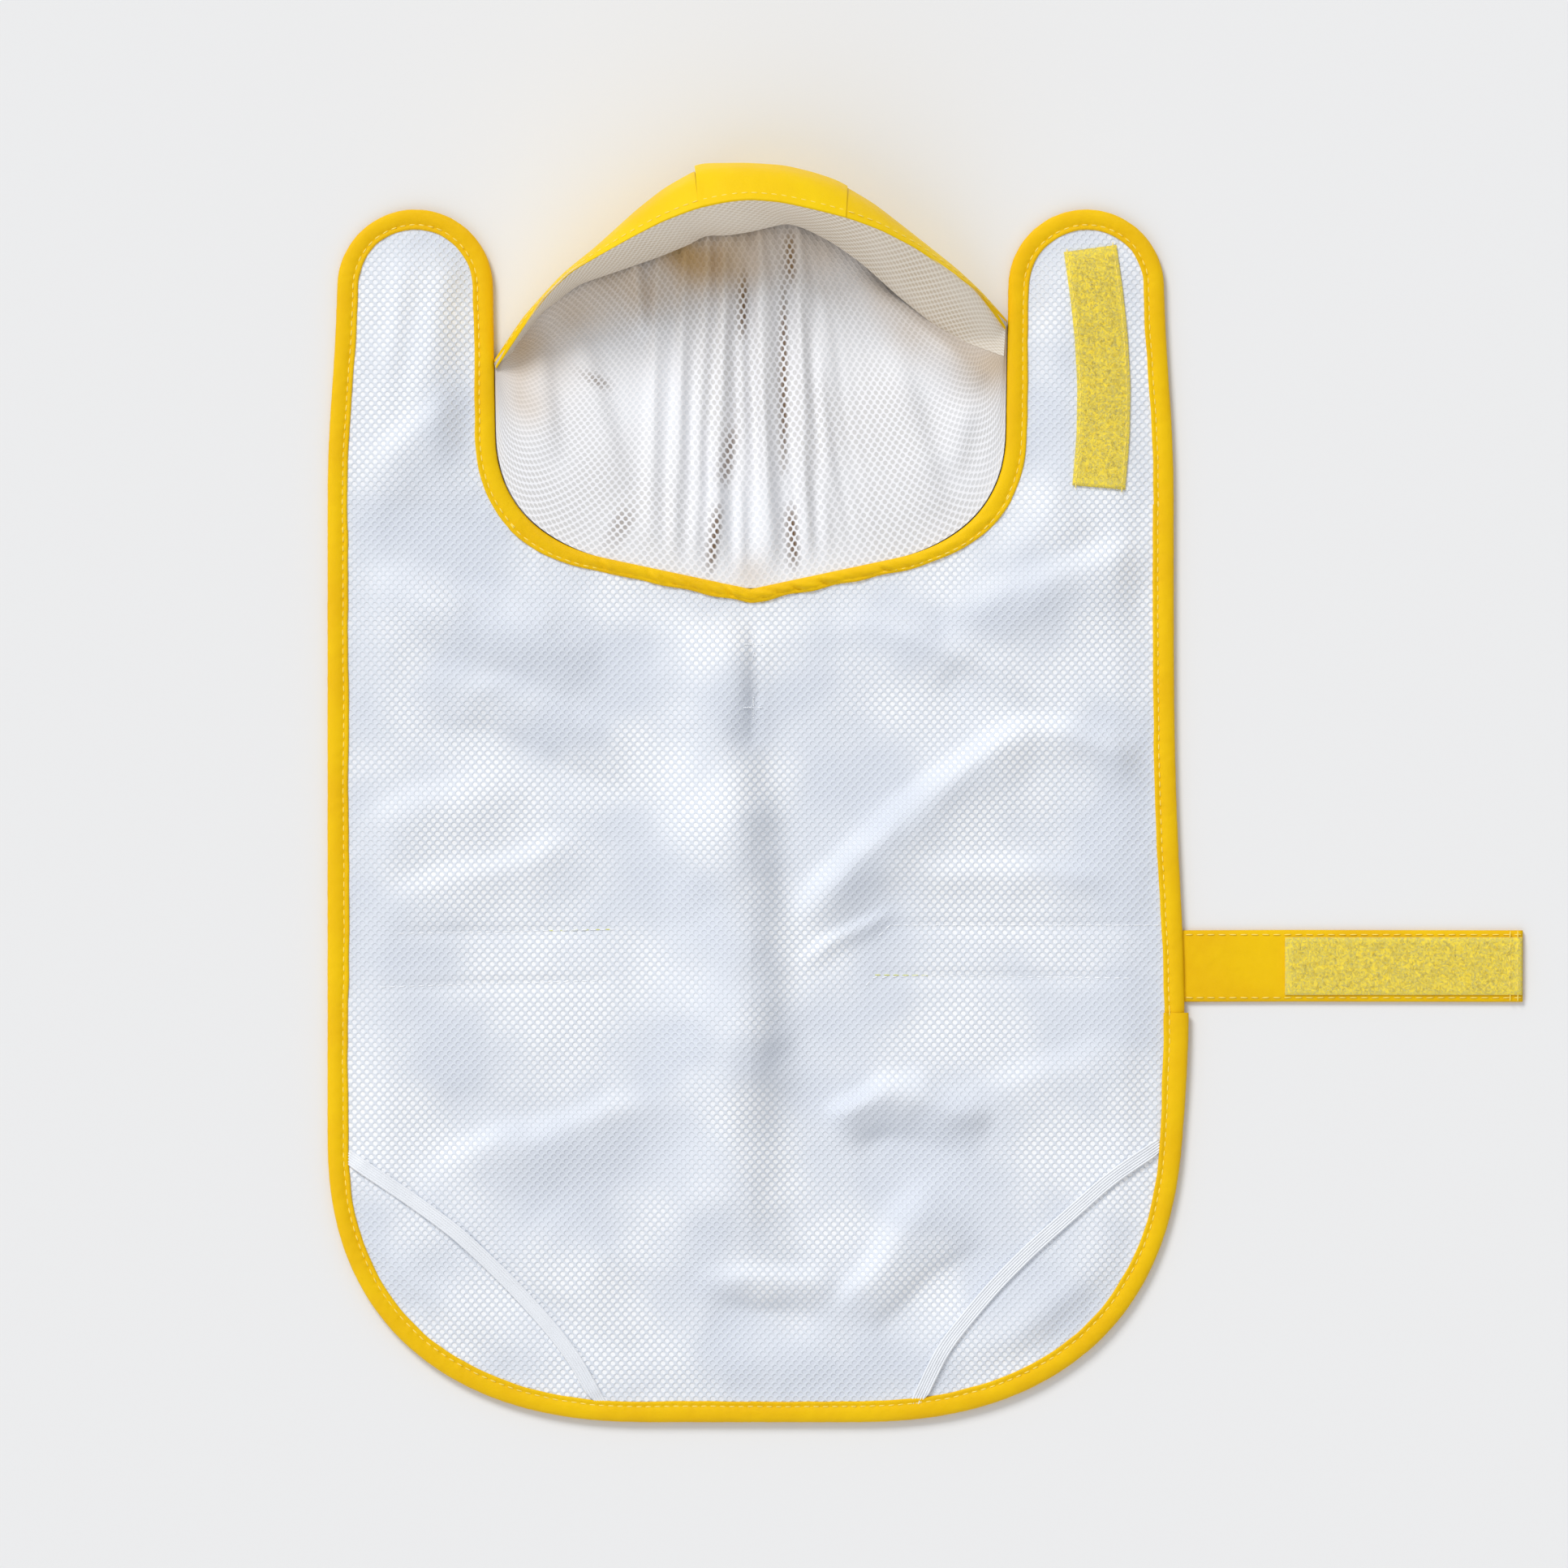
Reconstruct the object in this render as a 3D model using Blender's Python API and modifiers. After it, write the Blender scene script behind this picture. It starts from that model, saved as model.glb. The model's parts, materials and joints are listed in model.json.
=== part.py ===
"""Hooded rain coat for a dog, laid open with its mesh lining up.

X runs across the coat, Y runs from the hem to the hood, Z is up.
The origin is under the hem binding, in the middle of its width, at the centre back.
The cloth folds along straight lines, and each stretch between two folds is
its own rigid panel, cut from one coat-sized layer by vertical planes.
"""
import math

import bmesh
import bpy
from mathutils import Vector

# Driving dimensions, in metres
COAT_HALF_WIDTH = 0.198
COAT_LENGTH = 0.390          # centre back, neck point to hem
NECK_SLOPE_RUN = 0.068       # the near-straight part of the neck edge, each side
NECK_SLOPE = math.radians(12)
NECK_DEPTH = 0.073           # neck point up to where the tab's inner edge is upright
TAB_WIDTH = 0.073
TAB_LEAN = 0.0045            # how far the tab's tip stands in from the coat's side
TAB_RISE = 0.1775            # tab tip above the neck point
SHOULDER_RISE = 0.040        # neck point up to where the outer edge is upright
CORNER_RUN = 0.152           # the rounded hem corners
CORNER_RISE = 0.135
CORNER_POWER = 2.35
STRAP_PULL = 0.005           # how far the strap draws the right edge outwards
STRAP_PULL_SPREAD = 0.085

SHELL_THICKNESS = 0.0007
LINING_THICKNESS = 0.0009
BINDING_THICKNESS = 0.0006
BINDING_WIDTH = 0.0095
BINDING_LAP_RISE = 0.1915    # where the binding's folded end laps its start
TAPE_THICKNESS = 0.0009
TAPE_WIDTH = 0.025
TAB_TAPE_LENGTH = 0.113
TAB_TAPE_TURN = math.radians(2.3)
TAB_TAPE_OFFSET = 0.005       # the tapes' middles stand out from the tabs' middles
BELLY_TAPE_RISE = 0.2174      # rises are from the hem
FLANK_TAPE_REACH = {"left": (0.0650, 0.1715), "right": (0.0590, 0.1880)}

STRAP_WIDTH = 0.0335
STRAP_LENGTH = 0.157
STRAP_RISE = 0.2134
STRAP_TAPE_WIDTH = 0.0270
STRAP_TAPE_LENGTH = 0.111
STRAP_ANCHOR = 0.0125

TAB_FOLD_RISE = {"left": 0.034, "right": 0.046}
FOLD_HEM_X = {"left": 0.067, "right": 0.075}
ELASTIC_WIDTH = 0.0068
ELASTIC_THICKNESS = 0.0009
ELASTIC_BOW = 0.0096
ELASTIC_MARGIN = 0.6         # its ends stop this share of its width short of the binding
ELASTIC_RISE = {"left": 0.121, "right": 0.127}
ELASTIC_REACH = {"left": 0.0733, "right": 0.0808}

HOOD_FOLD_RISE = 0.075       # the hood turns up here, above the neck point
HOOD_RISE = 0.1814           # rim's middle above the neck point
HOOD_HALF_WIDTH = 0.1130
HOOD_RIM_CURVE = 4.5
HOOD_HEIGHT = 0.056
HOOD_END_HEIGHT = 0.005      # the rim's two ends
HOOD_BULGE = 0.016
HOOD_PANEL = (-0.25, 0.38)   # the crown panel's two seams, as shares of the half width
HOOD_FACING = 0.16           # the facing's share of the hood's depth
HOOD_FACING_SPAN = (-0.95, 0.95)
HOOD_FACING_TOP = 0.985      # where the facing stops, as a share of the hood's depth

# Shapes of the drawn curves, as shares
NECK_HANDLE = 0.52           # of the run between the neck slope and the tab's inner edge
NECK_LOW_PULL = 1.1
NECK_HIGH_PULL = 1.25
SHOULDER_HANDLE = 0.4
HOOD_ROUND = 2.2             # how squarely the rim's height falls to its ends
HOOD_ROUND_POWER = 0.8
HOOD_BULGE_POWER = 1.3
HOOD_FOOT = 0.30             # of the rim's height
HOOD_FLOOR = 0.45            # of the hood's depth, lying flat
HOOD_CREST = 1.35            # of the bulge
HOOD_WALL = 0.35             # of the rim's height
HOOD_SAMPLE = 0.004          # how close two places are when the hood's slope is taken

COATED, PLAIN, WOVEN, FUZZY = 0.4, 0.6, 0.9, 0.95      # roughness of the finishes
TAB_EASE = 0.001             # a tab's sides stand off upright by this much
HOOD_BASE_EXTRA = 0.03       # the hood's base is drawn larger than it is cut
NECK_STEPS, CURVE_STEPS, SHOULDER_STEPS, ELASTIC_STEPS = 8, 12, 8, 16
HOOD_COLUMNS, HOOD_ROWS = 26, 14

GAP = 0.0003
FOLD_GAP = 0.0004
FACING_GAP = 0.0012
HOOD_CLEARANCE = 0.0016
END_CLEARANCE = 0.0015
EDGE_CLEARANCE = 0.0015
STEP = 0.007                 # the longest side along a round edge

# Heights of the layers
SHELL_Z = BINDING_THICKNESS + GAP
LINING_Z = SHELL_Z + SHELL_THICKNESS + GAP
LINING_TOP = LINING_Z + LINING_THICKNESS
LIP_LOW_Z = SHELL_Z - GAP - BINDING_THICKNESS
LIP_HIGH_Z = LINING_TOP + GAP
BINDING_TOP = LIP_HIGH_Z + BINDING_THICKNESS
INNER_TAPE_Z = LINING_TOP + GAP
OUTER_TAPE_Z = SHELL_Z - GAP - TAPE_THICKNESS
FOLD_Z = INNER_TAPE_Z + max(TAPE_THICKNESS, ELASTIC_THICKNESS, BINDING_THICKNESS) + GAP
ANCHOR_Z = LIP_LOW_Z - GAP - SHELL_THICKNESS
STRAP_INNER_Z = ANCHOR_Z + SHELL_THICKNESS + GAP
STRAP_TAPE_Z = STRAP_INNER_Z + SHELL_THICKNESS + GAP
STRAP_FOLD_Z = STRAP_TAPE_Z + TAPE_THICKNESS

# Places that follow from the sizes
HEM_Y = -BINDING_WIDTH / 2
NECK_Y = HEM_Y + COAT_LENGTH
MIDDLE_Y = (HEM_Y + NECK_Y) / 2
TAB_INNER_X = COAT_HALF_WIDTH - TAB_LEAN - TAB_WIDTH
LAP_Y = HEM_Y + BINDING_LAP_RISE
STRAP_Y = HEM_Y + STRAP_RISE
HOOD_FOLD_Y = NECK_Y + HOOD_FOLD_RISE
TAB_FOLD_Y = {side: NECK_Y + rise for side, rise in TAB_FOLD_RISE.items()}
SIGN = {"left": -1, "right": 1}

YELLOW = (0.93, 0.58, 0.01)
TAPE_YELLOW = (0.85, 0.66, 0.04)
WHITE = (0.85, 0.87, 0.90)


# ---------------------------------------------------------------- outline

def bezier(p0, p1, p2, p3, count):
    """Points along a cubic curve, without its first point."""
    out = []
    for n in range(1, count + 1):
        t = n / count
        a, b, c, d = (1 - t) ** 3, 3 * t * (1 - t) ** 2, 3 * t * t * (1 - t), t ** 3
        out.append(tuple(a * i + b * j + c * k + d * m for i, j, k, m in zip(p0, p1, p2, p3)))
    return out


def side_pull(y):
    """How far the strap draws the right edge out at this height."""
    return STRAP_PULL * math.exp(-((y - LAP_Y) / STRAP_PULL_SPREAD) ** 2)


def half_outline(side):
    """One half of the coat's edge, from the neck point round to the hem's middle."""
    corner = (NECK_SLOPE_RUN, NECK_Y + NECK_SLOPE_RUN * math.tan(NECK_SLOPE))
    upright = (TAB_INNER_X - TAB_EASE, NECK_Y + NECK_DEPTH)
    reach = NECK_HANDLE * (upright[0] - corner[0])
    points = [(0.0, NECK_Y)]
    points += [(corner[0] * n / NECK_STEPS, NECK_Y + (corner[1] - NECK_Y) * n / NECK_STEPS)
               for n in range(1, NECK_STEPS + 1)]
    points += bezier(corner,
                     (corner[0] + reach * NECK_LOW_PULL,
                      corner[1] + reach * NECK_LOW_PULL * math.tan(NECK_SLOPE)),
                     (upright[0], upright[1] - reach * NECK_HIGH_PULL), upright, CURVE_STEPS)
    radius = TAB_WIDTH / 2
    centre = (TAB_INNER_X + radius, NECK_Y + TAB_RISE - radius)
    turns = max(8, int(math.pi * radius / STEP))
    for n in range(turns + 1):
        angle = math.pi - math.pi * n / turns
        points.append((centre[0] + radius * math.cos(angle), centre[1] + radius * math.sin(angle)))
    shoulder = (COAT_HALF_WIDTH, NECK_Y + SHOULDER_RISE)
    drop = (centre[1] - shoulder[1]) * SHOULDER_HANDLE
    points += bezier(points[-1], (points[-1][0] + TAB_EASE, centre[1] - drop),
                     (shoulder[0], shoulder[1] + drop), shoulder, SHOULDER_STEPS)
    corner_y = HEM_Y + CORNER_RISE
    rungs = int((shoulder[1] - corner_y) / (3 * STEP))
    points += [(COAT_HALF_WIDTH, shoulder[1] + (corner_y - shoulder[1]) * n / rungs) for n in range(1, rungs)]
    steps = int((CORNER_RUN + CORNER_RISE) / STEP)
    for n in range(steps + 1):
        angle = math.pi / 2 * n / steps
        across = CORNER_RUN * math.cos(angle) ** (2 / CORNER_POWER)
        down = CORNER_RISE * math.sin(angle) ** (2 / CORNER_POWER)
        points.append((COAT_HALF_WIDTH - CORNER_RUN + across, corner_y - down))
    points.append((0.0, HEM_Y))
    if side == "right":
        points = [(x + (side_pull(y) if x > TAB_INNER_X + radius else 0.0), y) for x, y in points]
    return [(SIGN[side] * x, y) for x, y in points]


def inset(points, distance):
    """The closed clockwise outline moved inwards by distance (outwards if negative)."""
    out = []
    count = len(points)
    for n, here in enumerate(points):
        before = Vector(here) - Vector(points[n - 1])
        after = Vector(points[(n + 1) % count]) - Vector(here)
        one = Vector((before.y, -before.x)).normalized()
        two = Vector((after.y, -after.x)).normalized()
        middle = (one + two).normalized()
        out.append(tuple(Vector(here) + middle * distance / max(0.5, middle.dot(one))))
    return out


def crossing(points, value, axis=1):
    """Where an edge first passes a value of x (axis 0) or y (axis 1), as a point."""
    for one, two in zip(points, points[1:]):
        if (one[axis] - value) * (two[axis] - value) <= 0 and one[axis] != two[axis]:
            share = (value - one[axis]) / (two[axis] - one[axis])
            return Vector(one).lerp(Vector(two), share).to_3d()
    raise ValueError("the edge doesn't reach this value")


HALVES = {side: half_outline(side) for side in SIGN}
OUTLINE = HALVES["right"][:-1] + HALVES["left"][:0:-1]


# ---------------------------------------------------------------- folds

def fold_line(side):
    """A flank's fold: its top point, its bottom point and its outward direction."""
    top = crossing(HALVES[side], TAB_FOLD_Y[side])
    bottom = Vector((SIGN[side] * FOLD_HEM_X[side], HEM_Y, 0))
    along = (top - bottom).normalized()
    return top, bottom, SIGN[side] * along.cross(Vector((0, 0, 1)))


def keep(point, direction, clearance=FOLD_GAP / 2):
    """A cut that keeps what lies past the point in a direction."""
    unit = Vector(direction).normalized()
    return Vector(point) + unit * clearance, unit


def region(body):
    """The cuts that leave one body's share of a coat-sized layer."""
    if body == "back":
        return [keep(fold_line(side)[0], -fold_line(side)[2]) for side in SIGN]
    side, kind = body.split("_")
    fold = (0, TAB_FOLD_Y[side], 0)
    if kind == "tab":
        return [keep((0, 0, 0), (SIGN[side], 0, 0)), keep(fold, (0, 1, 0))]
    top, _, outward = fold_line(side)
    return [keep(top, outward), keep(fold, (0, -1, 0))]


# ---------------------------------------------------------------- making solids

def clear_scene():
    """Remove the objects of the opening scene."""
    for obj in list(bpy.data.objects):
        bpy.data.objects.remove(obj, do_unlink=True)


def finish(name, colour, roughness):
    """A plain material for one node."""
    material = bpy.data.materials.new(name)
    material.use_nodes = True
    shader = material.node_tree.nodes["Principled BSDF"]
    shader.inputs["Base Color"].default_value = (*colour, 1)
    shader.inputs["Roughness"].default_value = roughness
    return material


def add(name, bm, colour, roughness=PLAIN):
    """Make a named object of a bmesh, in the coat's collection."""
    bmesh.ops.recalc_face_normals(bm, faces=bm.faces)
    mesh = bpy.data.meshes.new(name)
    bm.to_mesh(mesh)
    bm.free()
    obj = bpy.data.objects.new(name, mesh)
    mesh.materials.append(finish(name, colour, roughness))
    PARTS.objects.link(obj)
    return obj


def flat_solid(points, low, high):
    """A flat sheet with this outline between two heights, as a bmesh."""
    curve = bpy.data.curves.new("outline", "CURVE")
    curve.dimensions = "2D"
    curve.fill_mode = "BOTH"
    curve.extrude = (high - low) / 2
    spline = curve.splines.new("POLY")
    spline.points.add(len(points) - 1)
    for point, (x, y) in zip(spline.points, points):
        point.co = (x, y, 0, 1)
    spline.use_cyclic_u = True
    obj = bpy.data.objects.new("outline", curve)
    PARTS.objects.link(obj)
    mesh = bpy.data.meshes.new_from_object(obj.evaluated_get(bpy.context.evaluated_depsgraph_get()))
    bpy.data.objects.remove(obj)
    bm = bmesh.new()
    bm.from_mesh(mesh)
    bpy.data.meshes.remove(mesh)
    bmesh.ops.remove_doubles(bm, verts=bm.verts, dist=1e-6)
    bmesh.ops.translate(bm, verts=bm.verts, vec=(0, 0, (low + high) / 2))
    return bm


def channel(points):
    """The binding round the whole edge: a C section swept along a closed path."""
    sections = [(0, LIP_LOW_Z), (1, LIP_LOW_Z), (1, LIP_LOW_Z + BINDING_THICKNESS),
                (BINDING_THICKNESS / BINDING_WIDTH, LIP_LOW_Z + BINDING_THICKNESS),
                (BINDING_THICKNESS / BINDING_WIDTH, LIP_HIGH_Z), (1, LIP_HIGH_Z),
                (1, BINDING_TOP), (0, BINDING_TOP)]
    inner = inset(points, BINDING_WIDTH)
    bm = bmesh.new()
    rings = []
    for (x0, y0), (x1, y1) in zip(points, inner):
        rings.append([bm.verts.new((x0 + (x1 - x0) * u, y0 + (y1 - y0) * u, z)) for u, z in sections])
    for one, two in zip(rings, rings[1:] + rings[:1]):
        for n in range(len(sections)):
            m = (n + 1) % len(sections)
            bm.faces.new((one[n], one[m], two[m], two[n]))
    bmesh.ops.recalc_face_normals(bm, faces=bm.faces)
    return bm


def largest_island(bm):
    """Leave only the largest connected body."""
    islands, seen = [], set()
    for start in bm.verts:
        if start in seen:
            continue
        island, queue = {start}, [start]
        while queue:
            for edge in queue.pop().link_edges:
                for vert in edge.verts:
                    if vert not in island:
                        island.add(vert)
                        queue.append(vert)
        seen |= island
        islands.append(island)
    islands.sort(key=len)
    loose = [vert for island in islands[:-1] for vert in island]
    bmesh.ops.delete(bm, geom=loose, context="VERTS")


def cut(bm, cuts):
    """Trim a closed solid with vertical planes, and close it again at each."""
    for point, direction in cuts:
        everything = list(bm.verts) + list(bm.edges) + list(bm.faces)
        bmesh.ops.bisect_plane(bm, geom=everything, dist=1e-7, plane_co=point, plane_no=direction,
                               clear_inner=True)
        rim = [edge for edge in bm.edges if edge.is_boundary]
        if rim:
            bmesh.ops.holes_fill(bm, edges=rim)
    largest_island(bm)
    return bm


def rectangle(centre, length, width, turn=0.0):
    """Four corners, length along X before the turn, clockwise."""
    out = []
    for u, v in ((-1, 1), (1, 1), (1, -1), (-1, -1)):
        x, y = u * length / 2, v * width / 2
        out.append((centre[0] + x * math.cos(turn) - y * math.sin(turn),
                    centre[1] + x * math.sin(turn) + y * math.cos(turn)))
    return out


def slab(name, points, low, thickness, colour, cuts=(), roughness=PLAIN):
    """A flat piece of cloth or tape."""
    return add(name, cut(flat_solid(points, low, low + thickness), cuts), colour, roughness)


# ---------------------------------------------------------------- the coat

def coat_panels():
    """The shell, the lining and the binding, cut into panels at the folds."""
    sheet = inset(OUTLINE, BINDING_THICKNESS + GAP)
    for body in ("back", "left_flank", "right_flank", "left_tab", "right_tab"):
        slab(f"{body}_shell", sheet, SHELL_Z, SHELL_THICKNESS, YELLOW, region(body), COATED)
        slab(f"{body}_lining", sheet, LINING_Z, LINING_THICKNESS, WHITE, region(body), WOVEN)
    lap = (0, LAP_Y, 0)
    middle = (0, MIDDLE_Y, 0)
    bands = {
        "neck_binding": region("back") + [keep(middle, (0, 1, 0))],
        "hem_binding": region("back") + [keep(middle, (0, -1, 0))],
        "left_side_binding": region("left_flank"),
        "right_side_binding": region("right_flank") + [keep(lap, (0, 1, 0))],
        "lapped_binding_end": region("right_flank") + [keep(lap, (0, -1, 0))],
        "left_tab_binding": region("left_tab"),
        "right_tab_binding": region("right_tab"),
    }
    for name, cuts in bands.items():
        add(name, cut(channel(OUTLINE), cuts), YELLOW, COATED)


def tapes():
    """Hook and loop tapes: two under the flanks, one on each tab."""
    for side, (inner, outer) in FLANK_TAPE_REACH.items():
        centre = (SIGN[side] * (inner + outer) / 2, HEM_Y + BELLY_TAPE_RISE)
        strip = rectangle(centre, outer - inner, TAPE_WIDTH)
        for body, name in ((f"{side}_flank", "belly_tape"), ("back", "tape_inner_end")):
            slab(f"{side}_{name}", strip, OUTER_TAPE_Z, TAPE_THICKNESS, TAPE_YELLOW, region(body), FUZZY)
    for side, level in (("left", OUTER_TAPE_Z), ("right", INNER_TAPE_Z)):
        low = TAB_FOLD_Y[side] + END_CLEARANCE
        length = min(TAB_TAPE_LENGTH, tab_tape_top() - low)
        middle = (SIGN[side] * (TAB_INNER_X + TAB_WIDTH / 2 + TAB_TAPE_OFFSET), low + length / 2)
        strip = rectangle(middle, length, TAPE_WIDTH, math.pi / 2 + SIGN[side] * TAB_TAPE_TURN)
        slab(f"{side}_tab_tape", strip, level, TAPE_THICKNESS, TAPE_YELLOW, region(f"{side}_tab"), FUZZY)


def tab_tape_top():
    """How high a tab's tape can reach before its outer corner meets the binding."""
    lean = math.sin(TAB_TAPE_TURN)
    corner = TAB_TAPE_OFFSET + TAPE_WIDTH / 2 - TAB_TAPE_LENGTH / 2 * lean
    radius = TAB_WIDTH / 2 - BINDING_WIDTH - GAP
    centre = NECK_Y + TAB_RISE - TAB_WIDTH / 2
    return centre + math.sqrt(radius ** 2 - corner ** 2) - TAPE_WIDTH / 2 * lean


def elastic_ends(side):
    """The middles of a leg elastic's two sewn ends."""
    margin = BINDING_WIDTH + ELASTIC_MARGIN * ELASTIC_WIDTH + GAP
    upper = crossing(HALVES[side], HEM_Y + ELASTIC_RISE[side])
    lower = crossing(HALVES[side][::-1], SIGN[side] * ELASTIC_REACH[side], axis=0)
    return upper - Vector((SIGN[side] * margin, 0, 0)), lower + Vector((0, margin, 0))


def elastic_inward(side):
    """The direction in which a leg elastic bows, towards the centre back."""
    start, end = elastic_ends(side)
    along = (end - start).normalized()
    return SIGN[side] * along.cross(Vector((0, 0, 1)))


def leg_elastics():
    """A flat elastic across each hem corner, bowed towards the centre back."""
    for side in SIGN:
        start, end = elastic_ends(side)
        inward = elastic_inward(side)
        near, far = [], []
        for n in range(ELASTIC_STEPS + 1):
            share = n / ELASTIC_STEPS
            middle = start.lerp(end, share) + inward * ELASTIC_BOW * 4 * share * (1 - share)
            near.append((middle - inward * ELASTIC_WIDTH / 2).xy)
            far.append((middle + inward * ELASTIC_WIDTH / 2).xy)
        slab(f"{side}_leg_elastic", near + far[::-1], INNER_TAPE_Z, ELASTIC_THICKNESS, WHITE)


def strap():
    """The belly strap: two layers with a tape on top, and its sewn anchor."""
    edge = COAT_HALF_WIDTH + side_pull(STRAP_Y)
    fold = edge + EDGE_CLEARANCE
    anchor = rectangle((edge - STRAP_ANCHOR / 2 + EDGE_CLEARANCE / 2, STRAP_Y),
                       STRAP_ANCHOR + EDGE_CLEARANCE - FOLD_GAP, STRAP_WIDTH)
    slab("strap_anchor", anchor, ANCHOR_Z, SHELL_THICKNESS, YELLOW)
    start = fold + FOLD_GAP / 2
    band = rectangle((start + STRAP_LENGTH / 2, STRAP_Y), STRAP_LENGTH, STRAP_WIDTH)
    slab("strap_outer_layer", band, ANCHOR_Z, SHELL_THICKNESS, YELLOW, roughness=COATED)
    slab("strap_inner_layer", band, STRAP_INNER_Z, SHELL_THICKNESS, YELLOW, roughness=COATED)
    tip = start + STRAP_LENGTH - GAP
    tape = rectangle((tip - STRAP_TAPE_LENGTH / 2, STRAP_Y), STRAP_TAPE_LENGTH, STRAP_TAPE_WIDTH)
    slab("strap_tape", tape, STRAP_TAPE_Z, TAPE_THICKNESS, TAPE_YELLOW, roughness=FUZZY)


# ---------------------------------------------------------------- the hood

def hood_side(y):
    """The hood's half width at a height: clear of both flanks' folds."""
    reach = []
    for side in SIGN:
        top, bottom, _ = fold_line(side)
        share = (y - bottom.y) / (top.y - bottom.y)
        reach.append(abs(bottom.x + (top.x - bottom.x) * share))
    return min(min(reach) - HOOD_CLEARANCE, HOOD_HALF_WIDTH)


def hood_base():
    """The hood's flat part between the neck edge and its fold: shell and lining."""
    top = HOOD_FOLD_Y + HOOD_BASE_EXTRA
    neck = [point for point in HALVES["left"][::-1] + HALVES["right"][1:]
            if abs(point[0]) < TAB_INNER_X and NECK_Y <= point[1] < top]
    wide = HOOD_HALF_WIDTH + HOOD_BASE_EXTRA
    ring = inset([(-wide, top), (wide, top)] + neck[::-1], GAP)
    sides = [keep((SIGN[side] * hood_side(TAB_FOLD_Y[side]), 0, 0), (-SIGN[side], 0, 0)) for side in SIGN]
    cuts = sides + [keep((0, HOOD_FOLD_Y, 0), (0, -1, 0))]
    slab("hood_base_shell", ring, SHELL_Z, SHELL_THICKNESS, YELLOW, cuts, COATED)
    slab("hood_base_lining", ring, LINING_Z, LINING_THICKNESS, WHITE, cuts, WOVEN)


def hood_rim(s):
    """The rim at a share s of the half width, from -1 to 1."""
    x = s * hood_side(HOOD_FOLD_Y)
    y = NECK_Y + HOOD_RISE - HOOD_RIM_CURVE * x * x
    round_share = max(0.0, 1 - abs(s) ** HOOD_ROUND)
    low = SHELL_Z + HOOD_END_HEIGHT
    return Vector((x, y, low + (HOOD_HEIGHT - HOOD_END_HEIGHT) * round_share ** HOOD_ROUND_POWER))


def hood_point(s, v):
    """The hood's outer surface: along the floor from the fold, then up to the rim."""
    rim = hood_rim(s)
    bulge = HOOD_BULGE * max(0.0, 1 - s * s) ** HOOD_BULGE_POWER
    low = SHELL_Z + SHELL_THICKNESS
    foot = Vector((rim.x, rim.y + bulge - HOOD_FOOT * rim.z, low))
    if v <= HOOD_FLOOR:
        start = Vector((s * hood_side(HOOD_FOLD_Y), HOOD_FOLD_Y + FOLD_GAP / 2, low))
        return start.lerp(foot, v / HOOD_FLOOR)
    crest = rim.y + bulge * HOOD_CREST
    t = (v - HOOD_FLOOR) / (1 - HOOD_FLOOR)
    low_handle = Vector((rim.x, foot.y + HOOD_FOOT * rim.z, low))
    high_handle = Vector((rim.x, crest, HOOD_WALL * rim.z))
    return (foot * (1 - t) ** 3 + low_handle * 3 * t * (1 - t) ** 2
            + high_handle * 3 * t * t * (1 - t) + rim * t ** 3)


def hood_normal(s, v):
    """The direction into the hood's hollow."""
    step = HOOD_SAMPLE
    across = hood_point(min(1, s + step), v) - hood_point(max(-1, s - step), v)
    along = hood_point(s, min(1, v + step)) - hood_point(s, max(0, v - step))
    return across.cross(along).normalized()


def hood_sheet(name, s_range, v_range, rise, thickness, colour, roughness):
    """One panel of the crown, a curved grid given its thickness by Solidify."""
    columns = max(6, round(HOOD_COLUMNS * (s_range[1] - s_range[0]) / 2))
    rows = max(3, round(HOOD_ROWS * (v_range[1] - v_range[0])))
    bm = bmesh.new()
    bmesh.ops.create_grid(bm, x_segments=columns, y_segments=rows, size=0.5)
    for vert in bm.verts:
        s = s_range[0] + (s_range[1] - s_range[0]) * (vert.co.x + 0.5)
        v = v_range[0] + (v_range[1] - v_range[0]) * (vert.co.y + 0.5)
        vert.co = hood_point(s, v) + hood_normal(s, v) * rise
        vert.co.y = max(vert.co.y, HOOD_FOLD_Y + FOLD_GAP / 2)
    obj = add(name, bm, colour, roughness)
    wall = obj.modifiers.new("wall", "SOLIDIFY")
    wall.thickness = thickness
    wall.offset = 1 if obj.data.polygons[0].normal.z > 0 else -1
    return obj


def hood_crown():
    """The three crown panels, their linings and the mesh facing inside the rim."""
    half = hood_side(HOOD_FOLD_Y)
    spacing = GAP / half
    spans = {
        "left": (-1, HOOD_PANEL[0] - spacing / 2),
        "crown": (HOOD_PANEL[0] + spacing / 2, HOOD_PANEL[1] - spacing / 2),
        "right": (HOOD_PANEL[1] + spacing / 2, 1),
    }
    for place, span in spans.items():
        hood_sheet(f"hood_{place}_shell", span, (0, 1), -SHELL_THICKNESS, SHELL_THICKNESS, YELLOW, COATED)
        hood_sheet(f"hood_{place}_lining", span, (0, 1), GAP, LINING_THICKNESS, WHITE, WOVEN)
    rise = GAP + LINING_THICKNESS + FACING_GAP
    hood_sheet("hood_facing", HOOD_FACING_SPAN, (1 - HOOD_FACING, HOOD_FACING_TOP), rise,
               SHELL_THICKNESS, WHITE, WOVEN)


# ---------------------------------------------------------------- folds as hinges

def hinge(name, parent, place, *prefixes):
    """An empty on a fold's axis, which carries the nodes of the panel past the fold."""
    empty = bpy.data.objects.new(name, None)
    PARTS.objects.link(empty)
    base = Vector()
    if parent:
        empty.parent = parent
        base = Vector(parent["place"])
    empty["place"] = place
    empty.location = Vector(place) - base
    for obj in PARTS.objects:
        if obj.type == "MESH" and obj.name.startswith(prefixes):
            obj.parent = empty
            obj.location = -Vector(place)
    return empty


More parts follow.
